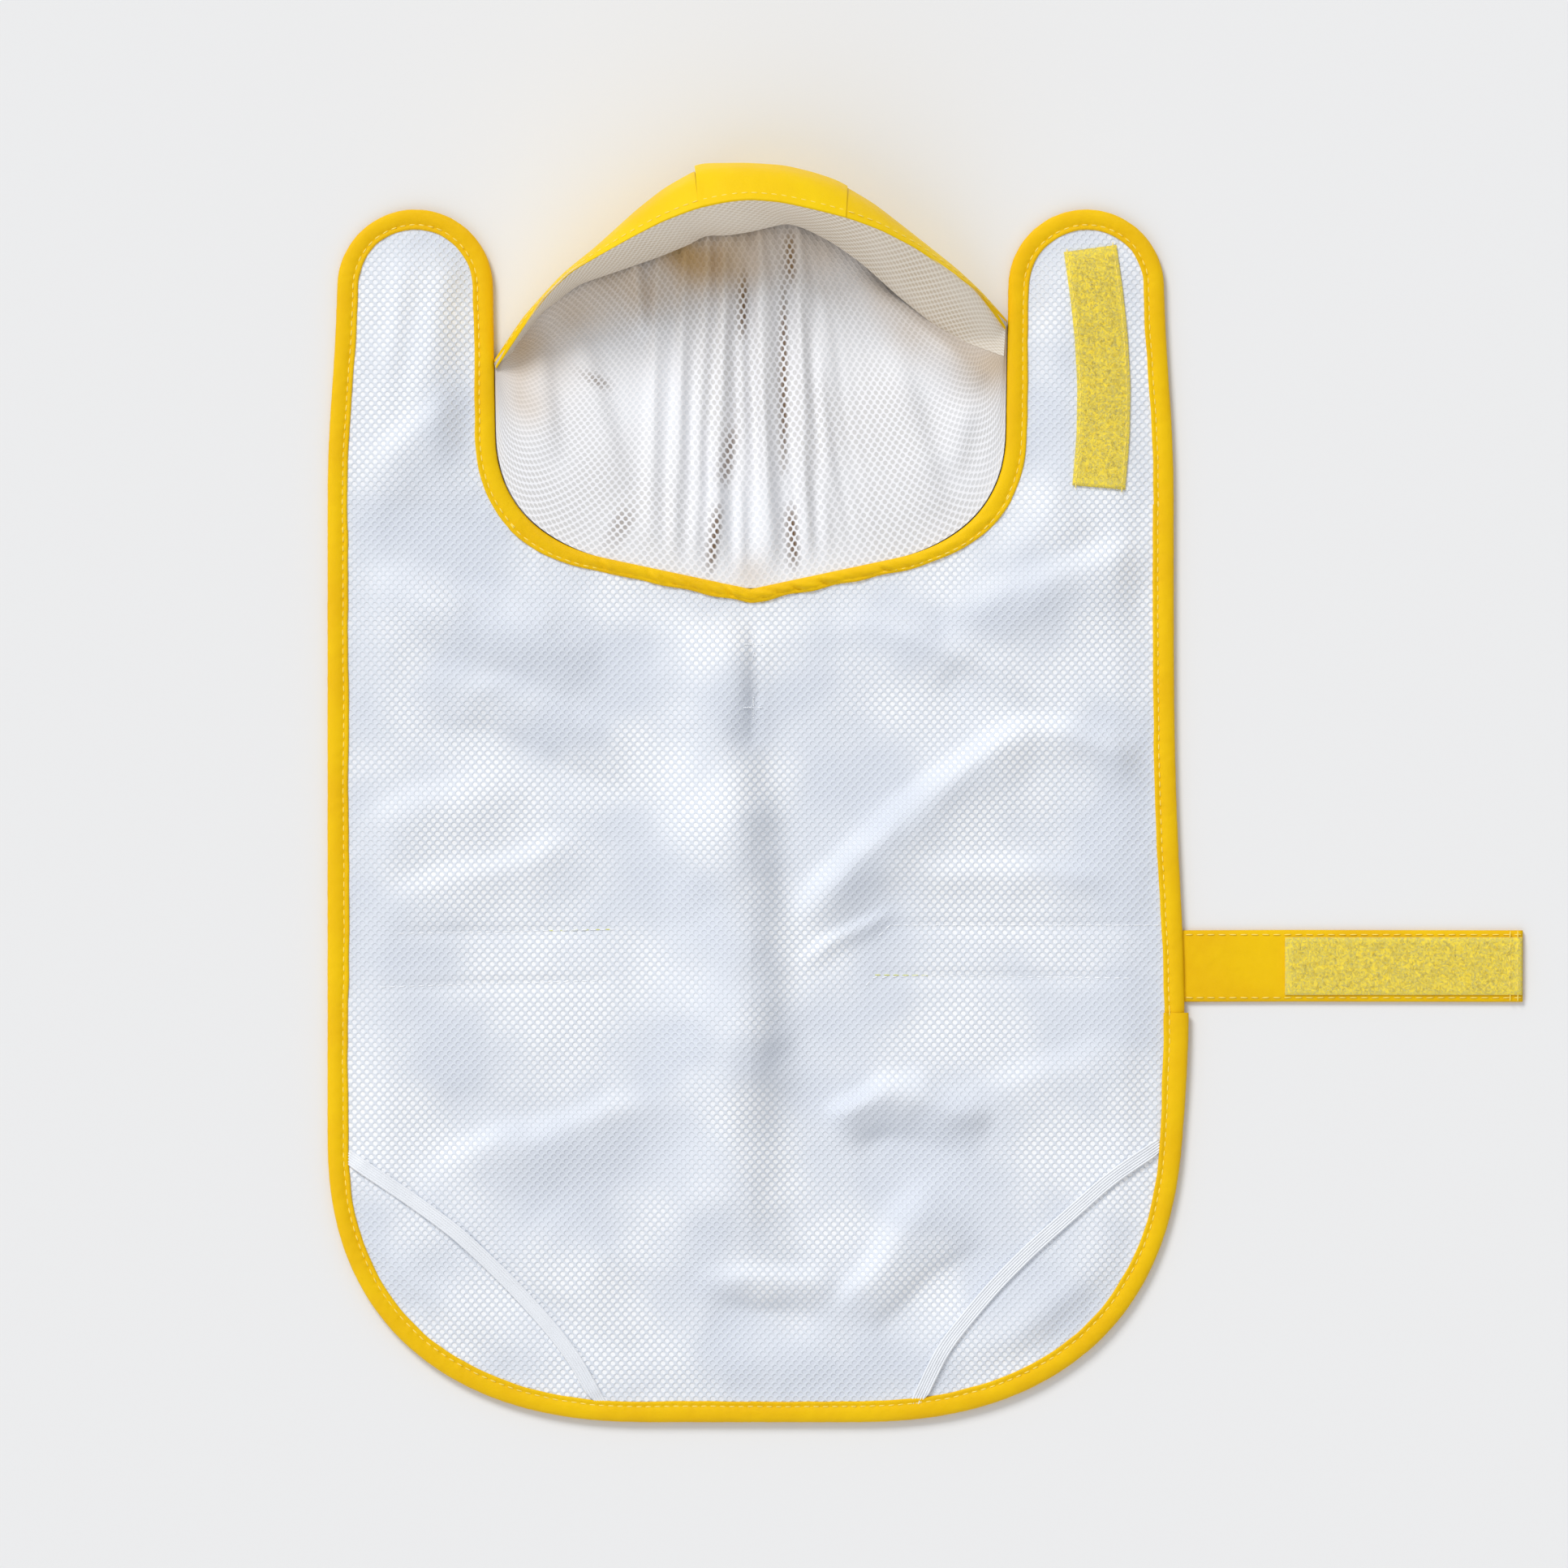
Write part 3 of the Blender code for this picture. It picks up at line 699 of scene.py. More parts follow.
class Graph:
    """Short ways to wire a node tree."""

    def __init__(self, tree: bpy.types.NodeTree) -> None:
        """Keep the tree."""
        self.tree = tree

    def node(self, kind: str, values: dict | None = None, **settings: object) -> bpy.types.Node:
        """A new node.

        Args:
            kind: the node's type name.
            values: what its inputs hold; a socket is linked, anything else is set.
            settings: the node's own properties.

        Returns:
            The node.
        """
        made = self.tree.nodes.new(kind)
        for key, value in settings.items():
            setattr(made, key, value)
        for key, value in (values or {}).items():
            if isinstance(value, bpy.types.NodeSocket):
                self.tree.links.new(value, made.inputs[key])
            else:
                made.inputs[key].default_value = value
        return made

    def math(self, operation: str, *values: object) -> bpy.types.NodeSocket:
        """The result of a sum on one or more values."""
        return self.node("ShaderNodeMath", dict(enumerate(values)), operation=operation).outputs[0]

    def mix(self, factor: object, low: object, high: object) -> bpy.types.NodeSocket:
        """A colour between two."""
        made = self.node("ShaderNodeMix", {0: factor, 6: low, 7: high}, data_type="RGBA")
        return made.outputs[2]

    def noise(self, place: bpy.types.NodeSocket, scale: object, detail: float,
              distortion: float = 0.0) -> bpy.types.NodeSocket:
        """The value of a noise.

        Args:
            place: where it is read.
            scale: lumps a metre, as a number or a socket.
            detail: how many finer layers it has.
            distortion: how far it is stirred.

        Returns:
            The noise's value socket.
        """
        values = {"Vector": place, "Scale": scale, "Detail": detail, "Distortion": distortion}
        return self.node("ShaderNodeTexNoise", values).outputs[0]

    def span(self, value: bpy.types.NodeSocket, low: float, high: float) -> bpy.types.NodeSocket:
        """A value mapped smoothly to 0 at one end of a span and 1 at the other.

        Args:
            value: the socket that is mapped.
            low: the end that gives 0.
            high: the end that gives 1.

        Returns:
            The mapped value's socket.
        """
        made = self.node("ShaderNodeMapRange", {0: value, 1: low, 2: high, 3: 0.0, 4: 1.0},
                         interpolation_type="SMOOTHSTEP")
        return made.outputs[0]


def rgb(code: str) -> tuple[float, float, float, float]:
    """A six-figure colour code as linear light.

    Args:
        code: the code, without a mark before it.

    Returns:
        Red, green, blue and alpha.
    """
    parts = [int(code[k:k + 2], 16) / 255 for k in (0, 2, 4)]
    return (*(p / 12.92 if p <= 0.04045 else ((p + 0.055) / 1.055) ** 2.4 for p in parts), 1.0)


def new_group(name: str, inputs: dict[str, float | None], outputs: tuple[str, ...]) -> tuple:
    """A shader group with its sockets made.

    Args:
        name: the group's name.
        inputs: each input's name and value, None for a vector.
        outputs: the names of its value outputs.

    Returns:
        The group, its graph, and its inner input and output nodes.
    """
    group = bpy.data.node_groups.new(name, "ShaderNodeTree")
    for key, value in inputs.items():
        kind = "NodeSocketVector" if value is None else "NodeSocketFloat"
        socket = group.interface.new_socket(name=key, in_out="INPUT", socket_type=kind)
        if value is not None:
            socket.default_value = value
    for key in outputs:
        group.interface.new_socket(name=key, in_out="OUTPUT", socket_type="NodeSocketFloat")
    graph = Graph(group)
    return group, graph, graph.node("NodeGroupInput").outputs, graph.node("NodeGroupOutput").inputs


def honeycomb_group() -> bpy.types.NodeTree:
    """Open dots of a warp-knit mesh on two staggered lattices, from a flat place in metres.

    Returns:
        The group.
    """
    group, g, given, out = new_group("honeycomb_mesh", {
        "Place": None, "Pitch": 0.0039, "Row": 0.0021, "Dot": 0.00105, "Blur": 0.0003}, ("Dot", "Strand"))
    parts = g.node("ShaderNodeSeparateXYZ", {0: given["Place"]}).outputs
    wobble = g.noise(given["Place"], 260.0, 1.0)
    across = g.math("ADD", g.math("DIVIDE", parts[0], given["Pitch"]), g.math("MULTIPLY", wobble, 0.08))
    up = g.math("DIVIDE", parts[1], g.math("MULTIPLY", given["Row"], 2.0))
    reach = []
    for shift in (0.0, 0.5):
        wide = g.math("SUBTRACT", g.math("FRACT", g.math("ADD", across, 100.0 + shift)), 0.5)
        tall = g.math("SUBTRACT", g.math("FRACT", g.math("ADD", up, 100.0 + shift)), 0.5)
        wide = g.math("MULTIPLY", g.math("MULTIPLY", wide, given["Pitch"]), 0.92)
        tall = g.math("MULTIPLY", g.math("MULTIPLY", tall, given["Row"]), 2.0)
        squares = (g.math("MULTIPLY", wide, wide), g.math("MULTIPLY", tall, tall))
        reach.append(g.math("SQRT", g.math("ADD", *squares)))
    gap = g.math("MINIMUM", *reach)
    soft = g.node("ShaderNodeMapRange", {0: gap, 1: g.math("SUBTRACT", given["Dot"], given["Blur"]),
                                         2: g.math("ADD", given["Dot"], given["Blur"]), 3: 1.0, 4: 0.0},
                  interpolation_type="SMOOTHSTEP").outputs[0]
    g.tree.links.new(soft, out["Dot"])
    twist = g.node("ShaderNodeTexWave", {"Vector": given["Place"], "Scale": 420.0, "Distortion": 2.0,
                                         "Detail": 1.0}, bands_direction="DIAGONAL").outputs[1]
    g.tree.links.new(g.math("MULTIPLY", twist, g.math("SUBTRACT", 1.0, soft)), out["Strand"])
    return group


def grain_group() -> bpy.types.NodeTree:
    """The fine plain weave of coated cloth with a slow cloud over it, from a flat place in metres.

    Returns:
        The group.
    """
    group, g, given, out = new_group("cloth_grain", {"Place": None, "Threads": 1500.0, "Cloud": 30.0},
                                     ("Height", "Cloud"))
    waves = []
    for way in ("X", "Y"):
        threads = {"Vector": given["Place"], "Scale": given["Threads"], "Distortion": 1.2, "Detail": 0.0}
        waves.append(g.node("ShaderNodeTexWave", threads, bands_direction=way).outputs[1])
    g.tree.links.new(g.math("MAXIMUM", *waves), out["Height"])
    g.tree.links.new(g.noise(given["Place"], given["Cloud"], 3.0), out["Cloud"])
    return group


def fuzz_group() -> bpy.types.NodeTree:
    """Matted fibre: fine speckle, partly painted glints, and clumps, from a place in metres.

    Returns:
        The group.
    """
    group, g, given, out = new_group("fibre_fuzz", {"Place": None, "Fine": 2600.0, "Clump": 420.0},
                                     ("Speckle", "Clump"))
    fine = g.noise(given["Place"], given["Fine"], 2.0, 1.5)
    clump = g.noise(given["Place"], given["Clump"], 3.0, 2.0)
    g.tree.links.new(g.span(fine, 0.42, 0.68), out["Speckle"])
    g.tree.links.new(g.span(clump, 0.32, 0.7), out["Clump"])
    return group


@dataclass(frozen=True)
class Cloth:
    """A woven finish: colours, sheen and how deep its weave is."""

    name: str
    colour: str
    deep: str
    roughness: float = 0.45
    sheen: float = 0.15
    threads: float = 1500.0
    relief: float = 0.00006
    coat: float = 0.0

    def build(self, groups: dict[str, bpy.types.NodeTree]) -> bpy.types.Material:
        """The finish as a material.

        Args:
            groups: the shared shader groups by name.

        Returns:
            The material.
        """
        material, g, skin = bare_material(self.name)
        place = g.node("ShaderNodeTexCoord").outputs["Object"]
        grain = g.node("ShaderNodeGroup", {}, node_tree=groups["grain"])
        g.tree.links.new(place, grain.inputs["Place"])
        grain.inputs["Threads"].default_value = self.threads
        shade = g.span(grain.outputs["Cloud"], 0.3, 0.7)
        g.tree.links.new(g.mix(shade, rgb(self.deep), rgb(self.colour)), skin.inputs["Base Color"])
        bump = g.node("ShaderNodeBump", {"Strength": 0.6, "Distance": self.relief,
                                         "Height": grain.outputs["Height"]})
        crease = g.noise(place, 170.0, 3.0)
        crumple = g.node("ShaderNodeBump", {"Strength": 0.5, "Distance": 0.0006, "Height": crease,
                                            "Normal": bump.outputs[0]})
        g.tree.links.new(crumple.outputs[0], skin.inputs["Normal"])
        skin.inputs["Roughness"].default_value = self.roughness
        skin.inputs["Specular IOR Level"].default_value = 0.16
        skin.inputs["Sheen Weight"].default_value = self.sheen
        skin.inputs["Coat Weight"].default_value = self.coat
        skin.inputs["Coat Roughness"].default_value = 0.35
        return material


@dataclass(frozen=True)
class Mesh:
    """The knitted lining: an open mesh over white, with the dots shown by depth and by a colour that carries
    painted shade.
    """

    name: str
    strand: str = "DFE5EE"
    dot: str = "FCFDFF"
    shaded_dot: str = "DADFEA"
    paints_hood_shade: bool = False
    relief: float = 0.28 * MM
    pitch: float = 3.9 * MM

    def build(self, groups: dict[str, bpy.types.NodeTree]) -> bpy.types.Material:
        """The finish as a material.

        Args:
            groups: the shared shader groups by name.

        Returns:
            The material.
        """
        material, g, skin = bare_material(self.name)
        place = g.node("ShaderNodeUVMap", {}, uv_map="flat").outputs[0]
        knit = g.node("ShaderNodeGroup", {}, node_tree=groups["mesh"])
        g.tree.links.new(place, knit.inputs["Place"])
        for key, share in (("Pitch", 1.0), ("Row", 0.538), ("Dot", 0.269), ("Blur", 0.077)):
            knit.inputs[key].default_value = self.pitch * share
        # Painted shade: slow noise darkens patches of dots towards the shaded dot colour, as if shadow lay in
        # the gaps behind them.
        slow = g.noise(place, 13.0, 2.0)
        dots = g.mix(g.span(slow, 0.38, 0.62), rgb(self.shaded_dot), rgb(self.dot))
        if self.paints_hood_shade:
            # Painted shade: the dots turn dark brown in the slits, standing in for the shadowed yellow shell
            # seen through the mesh.
            slit_shade_mask = g.node("ShaderNodeAttribute", {}, attribute_name="open").outputs["Fac"]
            dots = g.mix(slit_shade_mask, dots, rgb("6B4E2C"))
        colour = g.mix(knit.outputs["Dot"], rgb(self.strand), dots)
        if self.paints_hood_shade:
            # Painted shade: the lining turns tan brown under the facing and in the hood's corners, as far as
            # the attribute asks.
            painted_rim_shade = g.node("ShaderNodeAttribute", {}, attribute_name="painted_rim_shade").outputs["Fac"]
            colour = g.mix(g.math("MULTIPLY", painted_rim_shade, 0.9), colour, rgb("C09B5C"))
        g.tree.links.new(colour, skin.inputs["Base Color"])
        height = g.math("SUBTRACT", g.math("MULTIPLY", knit.outputs["Strand"], 0.25), knit.outputs["Dot"])
        bump = g.node("ShaderNodeBump", {"Strength": 0.75, "Distance": self.relief, "Height": height})
        g.tree.links.new(bump.outputs[0], skin.inputs["Normal"])
        skin.inputs["Roughness"].default_value = 0.6
        skin.inputs["Specular IOR Level"].default_value = 0.35
        return material


@dataclass(frozen=True)
class Pile:
    """Hook-and-loop tape: matted fibre with bright speckle, partly its own tone and partly painted glints."""

    name: str
    colour: str
    bright: str

    def build(self, groups: dict[str, bpy.types.NodeTree]) -> bpy.types.Material:
        """The finish as a material.

        Args:
            groups: the shared shader groups by name.

        Returns:
            The material.
        """
        material, g, skin = bare_material(self.name)
        place = g.node("ShaderNodeTexCoord").outputs["Object"]
        fuzz = g.node("ShaderNodeGroup", {}, node_tree=groups["fuzz"])
        g.tree.links.new(place, fuzz.inputs["Place"])
        # Paler speckle: partly the fibres' own tone, partly painted glints of light on the fibre tips.
        amount = g.math("MULTIPLY", fuzz.outputs["Speckle"], fuzz.outputs["Clump"])
        g.tree.links.new(g.mix(amount, rgb(self.colour), rgb(self.bright)), skin.inputs["Base Color"])
        bump = g.node("ShaderNodeBump", {"Strength": 0.8, "Distance": 0.0004, "Height": amount})
        g.tree.links.new(bump.outputs[0], skin.inputs["Normal"])
        skin.inputs["Roughness"].default_value = 0.7
        skin.inputs["Sheen Weight"].default_value = 0.5
        return material


@dataclass(frozen=True)
class Plain:
    """A finish of one colour, for thread and elastic."""

    name: str
    colour: str
    roughness: float = 0.5

    def build(self, _groups: dict[str, bpy.types.NodeTree]) -> bpy.types.Material:
        """The finish as a material; one colour needs no group.

        Args:
            _groups: the shared shader groups, as every finish is given them.

        Returns:
            The material.
        """
        material, _, skin = bare_material(self.name)
        skin.inputs["Base Color"].default_value = rgb(self.colour)
        skin.inputs["Roughness"].default_value = self.roughness
        skin.inputs["Sheen Weight"].default_value = 0.2
        return material


def bare_material(name: str) -> tuple[bpy.types.Material, Graph, bpy.types.Node]:
    """A material with only its surface node.

    Args:
        name: the material's name.

    Returns:
        The material, its graph and the surface node.
    """
    material = bpy.data.materials.new(name)
    material.use_nodes = True
    graph = Graph(material.node_tree)
    skin = next(n for n in material.node_tree.nodes if n.type == "BSDF_PRINCIPLED")
    return material, graph, skin


class Finish(Enum):
    """Every finish on the coat."""

    SHELL = Cloth("coated_yellow", "FAD200", "F5C900", roughness=0.48, sheen=0.0, relief=0.00005)
    BINDING = Cloth("binding_yellow", "FACB00", "F4C000", roughness=0.42, sheen=0.0, threads=1900.0)
    LINING = Mesh("mesh_white")
    HOOD_LINING = Mesh("mesh_cream", strand="F8F8FB", dot="ECEEF2", shaded_dot="D9D8D8", paints_hood_shade=True,
                       relief=0.13 * MM, pitch=3.0 * MM)
    # The facing's beige tint is painted light, the yellowish glow it takes from the shell behind it.
    FACING = Mesh("mesh_facing", strand="F4EBDD", dot="E4D8C6", shaded_dot="D6C6AE", relief=0.12 * MM,
                  pitch=3.4 * MM)
    TAPE = Pile("loop_pile", "FFE338", "FFF8B0")
    HOOK = Pile("hook_face", "E2BE18", "F8DC50")
    ELASTIC = Plain("elastic_white", "EEF1F6", 0.5)
    THREAD = Plain("thread_pale_yellow", "FFE66A", 0.4)
    WHITE_THREAD = Plain("thread_white", "F6F8FB", 0.45)
    GREEN_THREAD = Plain("thread_green_yellow", "D9DC6A", 0.45)


# ------------------------------------------------------------------ repeated small parts


def set_inputs(modifier: bpy.types.Modifier, values: dict[str, object]) -> None:
    """Set a node modifier's named inputs by their socket identifiers.

    Args:
        modifier: the modifier.
        values: each input's name and value.
    """
    sockets = {s.name: s for s in modifier.node_group.interface.items_tree if s.in_out == "INPUT"}
    for key, value in values.items():
        modifier[sockets[key].identifier] = value


def geometry_group(name: str, numbers: dict[str, float]) -> tuple:
    """A geometry node group with its sockets made.

    Args:
        name: the group's name.
        numbers: its number inputs and their values.

    Returns:
        The group, its graph, and its inner input sockets.
    """
    group = bpy.data.node_groups.new(name, "GeometryNodeTree")
    add = group.interface.new_socket
    add(name="Geometry", in_out="INPUT", socket_type="NodeSocketGeometry")
    for key, value in numbers.items():
        add(name=key, in_out="INPUT", socket_type="NodeSocketFloat").default_value = value
    add(name="Seed", in_out="INPUT", socket_type="NodeSocketInt").default_value = 1
    add(name="Material", in_out="INPUT", socket_type="NodeSocketMaterial")
    add(name="Geometry", in_out="OUTPUT", socket_type="NodeSocketGeometry")
    graph = Graph(group)
    return group, graph, graph.node("NodeGroupInput").outputs


def end_group(graph: Graph, instances: bpy.types.NodeSocket, given: object) -> None:
    """Realize the instances, shade them smooth and give them their material.

    Args:
        graph: the graph to end.
        instances: the instances.
        given: the group's inner inputs.
    """
    real = graph.node("GeometryNodeRealizeInstances", {"Geometry": instances})
    soft = graph.node("GeometryNodeSetShadeSmooth", {"Geometry": real.outputs[0]})
    done = graph.node("GeometryNodeSetMaterial", {"Geometry": soft.outputs[0], "Material": given["Material"]})
    out = graph.node("NodeGroupOutput")
    graph.tree.links.new(done.outputs[0], out.inputs["Geometry"])


def stitch_group() -> bpy.types.NodeTree:
    """A row of stitches along a line: one small spindle each pitch, lying along it.

    Returns:
        The group.
    """
    group, g, given = geometry_group("stitch_row", {"Pitch": 0.0045, "Length": 0.0031, "Thread": 0.00055,
                                                    "Jitter": 0.06})
    curve = g.node("GeometryNodeMeshToCurve", {"Mesh": given["Geometry"]}).outputs[0]
    points = g.node("GeometryNodeCurveToPoints", {"Curve": curve, "Length": given["Pitch"]}, mode="LENGTH")
    ball = g.node("GeometryNodeMeshUVSphere", {"Segments": 8, "Rings": 5, "Radius": 0.5}).outputs[0]
    size = g.node("ShaderNodeCombineXYZ", {"X": given["Length"], "Y": given["Thread"], "Z": given["Thread"]})
    spindle = g.node("GeometryNodeTransform", {"Geometry": ball, "Scale": size.outputs[0]}).outputs[0]
    loose = g.node("FunctionNodeRandomValue", {"Seed": given["Seed"]}, data_type="FLOAT_VECTOR")
    loose.inputs["Min"].default_value, loose.inputs["Max"].default_value = (-1, -1, -1), (1, 1, 1)
    lean = g.node("ShaderNodeVectorMath", {0: loose.outputs[0]}, operation="SCALE")
    g.tree.links.new(given["Jitter"], lean.inputs["Scale"])
    way = g.node("ShaderNodeVectorMath", {0: points.outputs["Tangent"], 1: lean.outputs[0]},
                 operation="ADD")
    turn = g.node("FunctionNodeAlignRotationToVector", {"Vector": way.outputs[0]}, axis="X")
    placed = g.node("GeometryNodeInstanceOnPoints", {"Points": points.outputs["Points"], "Instance": spindle,
                                                     "Rotation": turn.outputs[0]})
    end_group(g, placed.outputs[0], given)
    return group


def pile_group() -> bpy.types.NodeTree:
    """Matted loops over a face: small arcs of fibre, turned and sized at random.

    Returns:
        The group.
    """
    group, g, given = geometry_group("loop_pile", {"Density": 1.1e6, "Loop": 0.00062, "Fibre": 0.00010})
    spread = g.node("GeometryNodeDistributePointsOnFaces",
                    {"Mesh": given["Geometry"], "Density": given["Density"], "Seed": given["Seed"]})
    arc = g.node("GeometryNodeCurveArc", {"Resolution": 5, "Radius": given["Loop"], "Start Angle": -0.2,
                                          "Sweep Angle": 3.5}).outputs[0]
    fibre = g.node("GeometryNodeCurvePrimitiveCircle", {"Resolution": 3, "Radius": given["Fibre"]})
    tube = g.node("GeometryNodeCurveToMesh", {"Curve": arc, "Profile Curve": fibre.outputs[0]}).outputs[0]
    upright = g.node("GeometryNodeTransform", {"Geometry": tube, "Rotation": (1.25, 0.0, 0.0),
                                               "Scale": (1.0, 1.0, 0.30)}).outputs[0]
    turn = g.node("FunctionNodeRandomValue", {"Seed": given["Seed"]}, data_type="FLOAT_VECTOR")
    turn.inputs["Min"].default_value, turn.inputs["Max"].default_value = (-0.5, -0.5, 0), (0.5, 0.5, 6.28)
    size = g.node("FunctionNodeRandomValue", {"Seed": given["Seed"]}, data_type="FLOAT")
    size.inputs[2].default_value, size.inputs[3].default_value = 0.55, 1.15
    placed = g.node("GeometryNodeInstanceOnPoints", {"Points": spread.outputs["Points"], "Instance": upright,
                                                     "Rotation": turn.outputs[0], "Scale": size.outputs[1]})
    end_group(g, placed.outputs[0], given)
    return group


def grown(name: str, source: bpy.types.Object, group: bpy.types.NodeTree,
          material: bpy.types.Material, **values: float) -> bpy.types.Object:
    """A mesh made by a node group from a source that is then removed.

    Args:
        name: the piece's name.
        source: the line or face it grows from.
        group: the node group.
        material: its finish.
        values: the group's number inputs.

    Returns:
        The finished mesh object.
    """
    modifier = source.modifiers.new("grow", "NODES")
    modifier.node_group = group
    set_inputs(modifier, {**values, "Material": material})
    graph = bpy.context.evaluated_depsgraph_get()
    mesh = bpy.data.meshes.new_from_object(source.evaluated_get(graph), depsgraph=graph)
    old = source.data
    bpy.data.objects.remove(source)
    bpy.data.meshes.remove(old)
    mesh.name = name
    item = bpy.data.objects.new(name, mesh)
    bpy.context.collection.objects.link(item)
    return item


class Workroom:
    """The finishes and node groups that every part of the coat shares."""

    def __init__(self) -> None:
        """Build the groups once, then each finish."""
        shared = {"mesh": honeycomb_group(), "grain": grain_group(), "fuzz": fuzz_group()}
        self.materials = {finish: finish.value.build(shared) for finish in Finish}
        self.stitches, self.pile = stitch_group(), pile_group()
        self.seed = 0

    def sew(self, name: str, path: np.ndarray, finish: Finish = Finish.THREAD, slot: Slot = Slot.BINDING,
            **sizes: float) -> bpy.types.Object:
        """A row of stitches along a path.

        Args:
            name: the piece's name.
            path: rows of x, y and z.
            finish: the thread.
            slot: the record's slot.
            sizes: Pitch, Length, Thread or Jitter, where they differ.

        Returns:
            The stitches.
        """
        self.seed += 1
        mesh = bpy.data.meshes.new(name + "_path")
        mesh.from_pydata([tuple(p) for p in path], [(n, n + 1) for n in range(len(path) - 1)], [])
        source = bpy.data.objects.new(name + "_path", mesh)
        bpy.context.collection.objects.link(source)
        item = grown(name, source, self.stitches, self.materials[finish], Seed=self.seed, **sizes)
        return paint(item, self.materials[finish], slot)


# ------------------------------------------------------------------ the coat's cloth


@dataclass
class Coat:
    """The body of the coat: lining and shell, in a back and flank piece and a tab for each side."""

    pattern: Pattern
    folds: Folds
    drape: Drape
    room: Workroom
    edge: float = 2.2 * MM
    lining_pitch: float = 2.7 * MM
    shell_pitch: float = 4.5 * MM
    lining_cloth: float = 0.6 * MM
    shell_cloth: float = 0.7 * MM

    def corners(self, side: Side) -> tuple[np.ndarray, np.ndarray, np.ndarray, int, int]:
        """Where a tab is cut from its flank.

        Args:
            side: which half.

        Returns:
            The inset half edge, the neck end and the inner corner of the cut, and the indices in
            the edge just after the neck end and just after the outer end.
        """
        line = self.pattern.half(side)
        way = inward(line, side)
        way[0], way[-1] = (0, -1), (0, 1)
        line = line + way * self.edge
        place, away = self.folds.flank(side)
        level = (line - place[:2]) @ away[:2]
        first = int(np.argmax(level > 0))
        t = level[first - 1] / (level[first - 1] - level[first])
        top = line[first - 1] + (line[first] - line[first - 1]) * t
        split = self.folds.tab_split(side)
        last = int(np.nonzero(line[:, 1] > split)[0][-1]) + 1
        along = np.array([away[1], -away[0]])
        inner = place[:2] + along * (split - place[1]) / along[1]
        return line, top, inner, first, last

    def regions(self, side: Side) -> tuple[np.ndarray, np.ndarray]:
        """The outlines of a side's main piece and tab.

        Args:
            side: which half.

        Returns:
            Two polygons that share the cut's points.
        """
        line, top, inner, first, last = self.corners(side)
        a, b = line[last - 1], line[last]
        outer = a + (b - a) * (self.folds.tab_split(side) - a[1]) / (b[1] - a[1])
        main = np.vstack([line[:first], [top], [inner], [outer], line[last:]])
        tab = np.vstack([[inner], [top], line[first:last], [outer]])
        turn = -1 if side is Side.RIGHT else 1
        return main[::turn], tab[::turn]

    def cloth(self, name: str, polygon: np.ndarray, lining: bool, *replaced: str) -> bpy.types.Object:
        """One sheet of the coat.

        Args:
            name: the piece's name.
            polygon: its outline.
            lining: the mesh lining, rather than the coated shell under it.
            replaced: the frame nodes it stands for.

        Returns:
            The sheet.
        """
        flat, faces = filled(polygon, self.lining_pitch if lining else self.shell_pitch)
        x, y = flat[:, 0], flat[:, 1]
        thickness = self.lining_cloth if lining else self.shell_cloth
        z = self.drape.lining(x, y) if lining else self.drape.shell(x, y) + thickness
        item = thicken(as_object(name, np.column_stack([flat, z]), faces, flat), thickness)
        finish, slot = (Finish.LINING, Slot.LINING) if lining else (Finish.SHELL, Slot.SHELL)
        paint(item, self.room.materials[finish], slot, *replaced)
        return item

    def build(self) -> None:
        """Lay both layers of both sides."""
        for side in Side:
            main, tab = self.regions(side)
            for lining in (False, True):
                layer = "lining" if lining else "shell"
                back = (f"back_{layer}",) if side is Side.LEFT else ()
                piece = self.cloth(f"coat_{side.value}_{layer}", main, lining,
                                   f"{side.value}_flank_{layer}", *back)
                self.folds.bend_flank(piece, side)
                piece = self.cloth(f"coat_{side.value}_tab_{layer}", tab, lining, f"{side.value}_tab_{layer}")
                self.folds.bend_tab(piece, side)


# ------------------------------------------------------------------ bindings


UPPER_SPOTS = 14
NECK_CREASES = (-0.0700, -0.0470, -0.0100, 0.0200, 0.0330, 0.0620)
LAP_STEPS = 11


@dataclass(frozen=True)
class Section:
    """The bent strip of a binding: inward places as a share of its width, upward ones in millimetres.

    The first UPPER_SPOTS places are its upper face, from the sewn edge out to the rim.
    """

    width: float
    spots: tuple[Point, ...]
    groove: float = 0.76
    crumple: float = 0.16 * MM
    ripple: float = 3.6 * MM
    outward: float = 0.0
    lift: float = 0.0
    fade: float = 70 * MM
    twisted: bool = False

    @classmethod
    def flat(cls, width: float, outward: float = 0.0, lift: float = 0.0) -> "Section":
        """A pressed binding: low and even, its stitched edge turned under.

        Args:
            width: of the bound edge.
            outward: how far it sits out where it laps.
            lift: how far it sits up there.

        Returns:
            The section.
        """
        spots = ((1.00, 2.95), (0.99, 3.3), (0.95, 3.62), (0.87, 3.66), (0.80, 3.50), (0.76, 3.38),
                 (0.72, 3.50), (0.64, 3.72), (0.50, 3.92), (0.35, 3.92), (0.21, 3.66), (0.10, 3.22),
                 (0.03, 2.62), (0.0, 1.9), (0.03, 1.2), (0.10, 0.65), (0.22, 0.28), (0.45, 0.1),
                 (0.75, 0.03), (1.0, 0.0))
        return cls(width, spots, outward=outward, lift=lift)

    @classmethod
    def rolled(cls, width: float) -> "Section":
        """The neck's binding: narrower, rounder and more crumpled.

        Args:
            width: of the bound edge.

        Returns:
            The section.
        """
        spots = ((1.00, 2.9), (1.0, 3.3), (0.97, 3.75), (0.90, 4.1), (0.82, 4.25), (0.78, 4.2),
                 (0.72, 4.42), (0.62, 4.72), (0.48, 4.92), (0.34, 4.82), (0.20, 4.36), (0.09, 3.66),
                 (0.02, 2.8), (0.0, 1.9), (0.03, 1.2), (0.10, 0.65), (0.22, 0.28), (0.45, 0.1),
                 (0.75, 0.03), (1.0, 0.0))
        return cls(width, spots, groove=0.80, crumple=0.50 * MM, ripple=6.0 * MM, twisted=True)


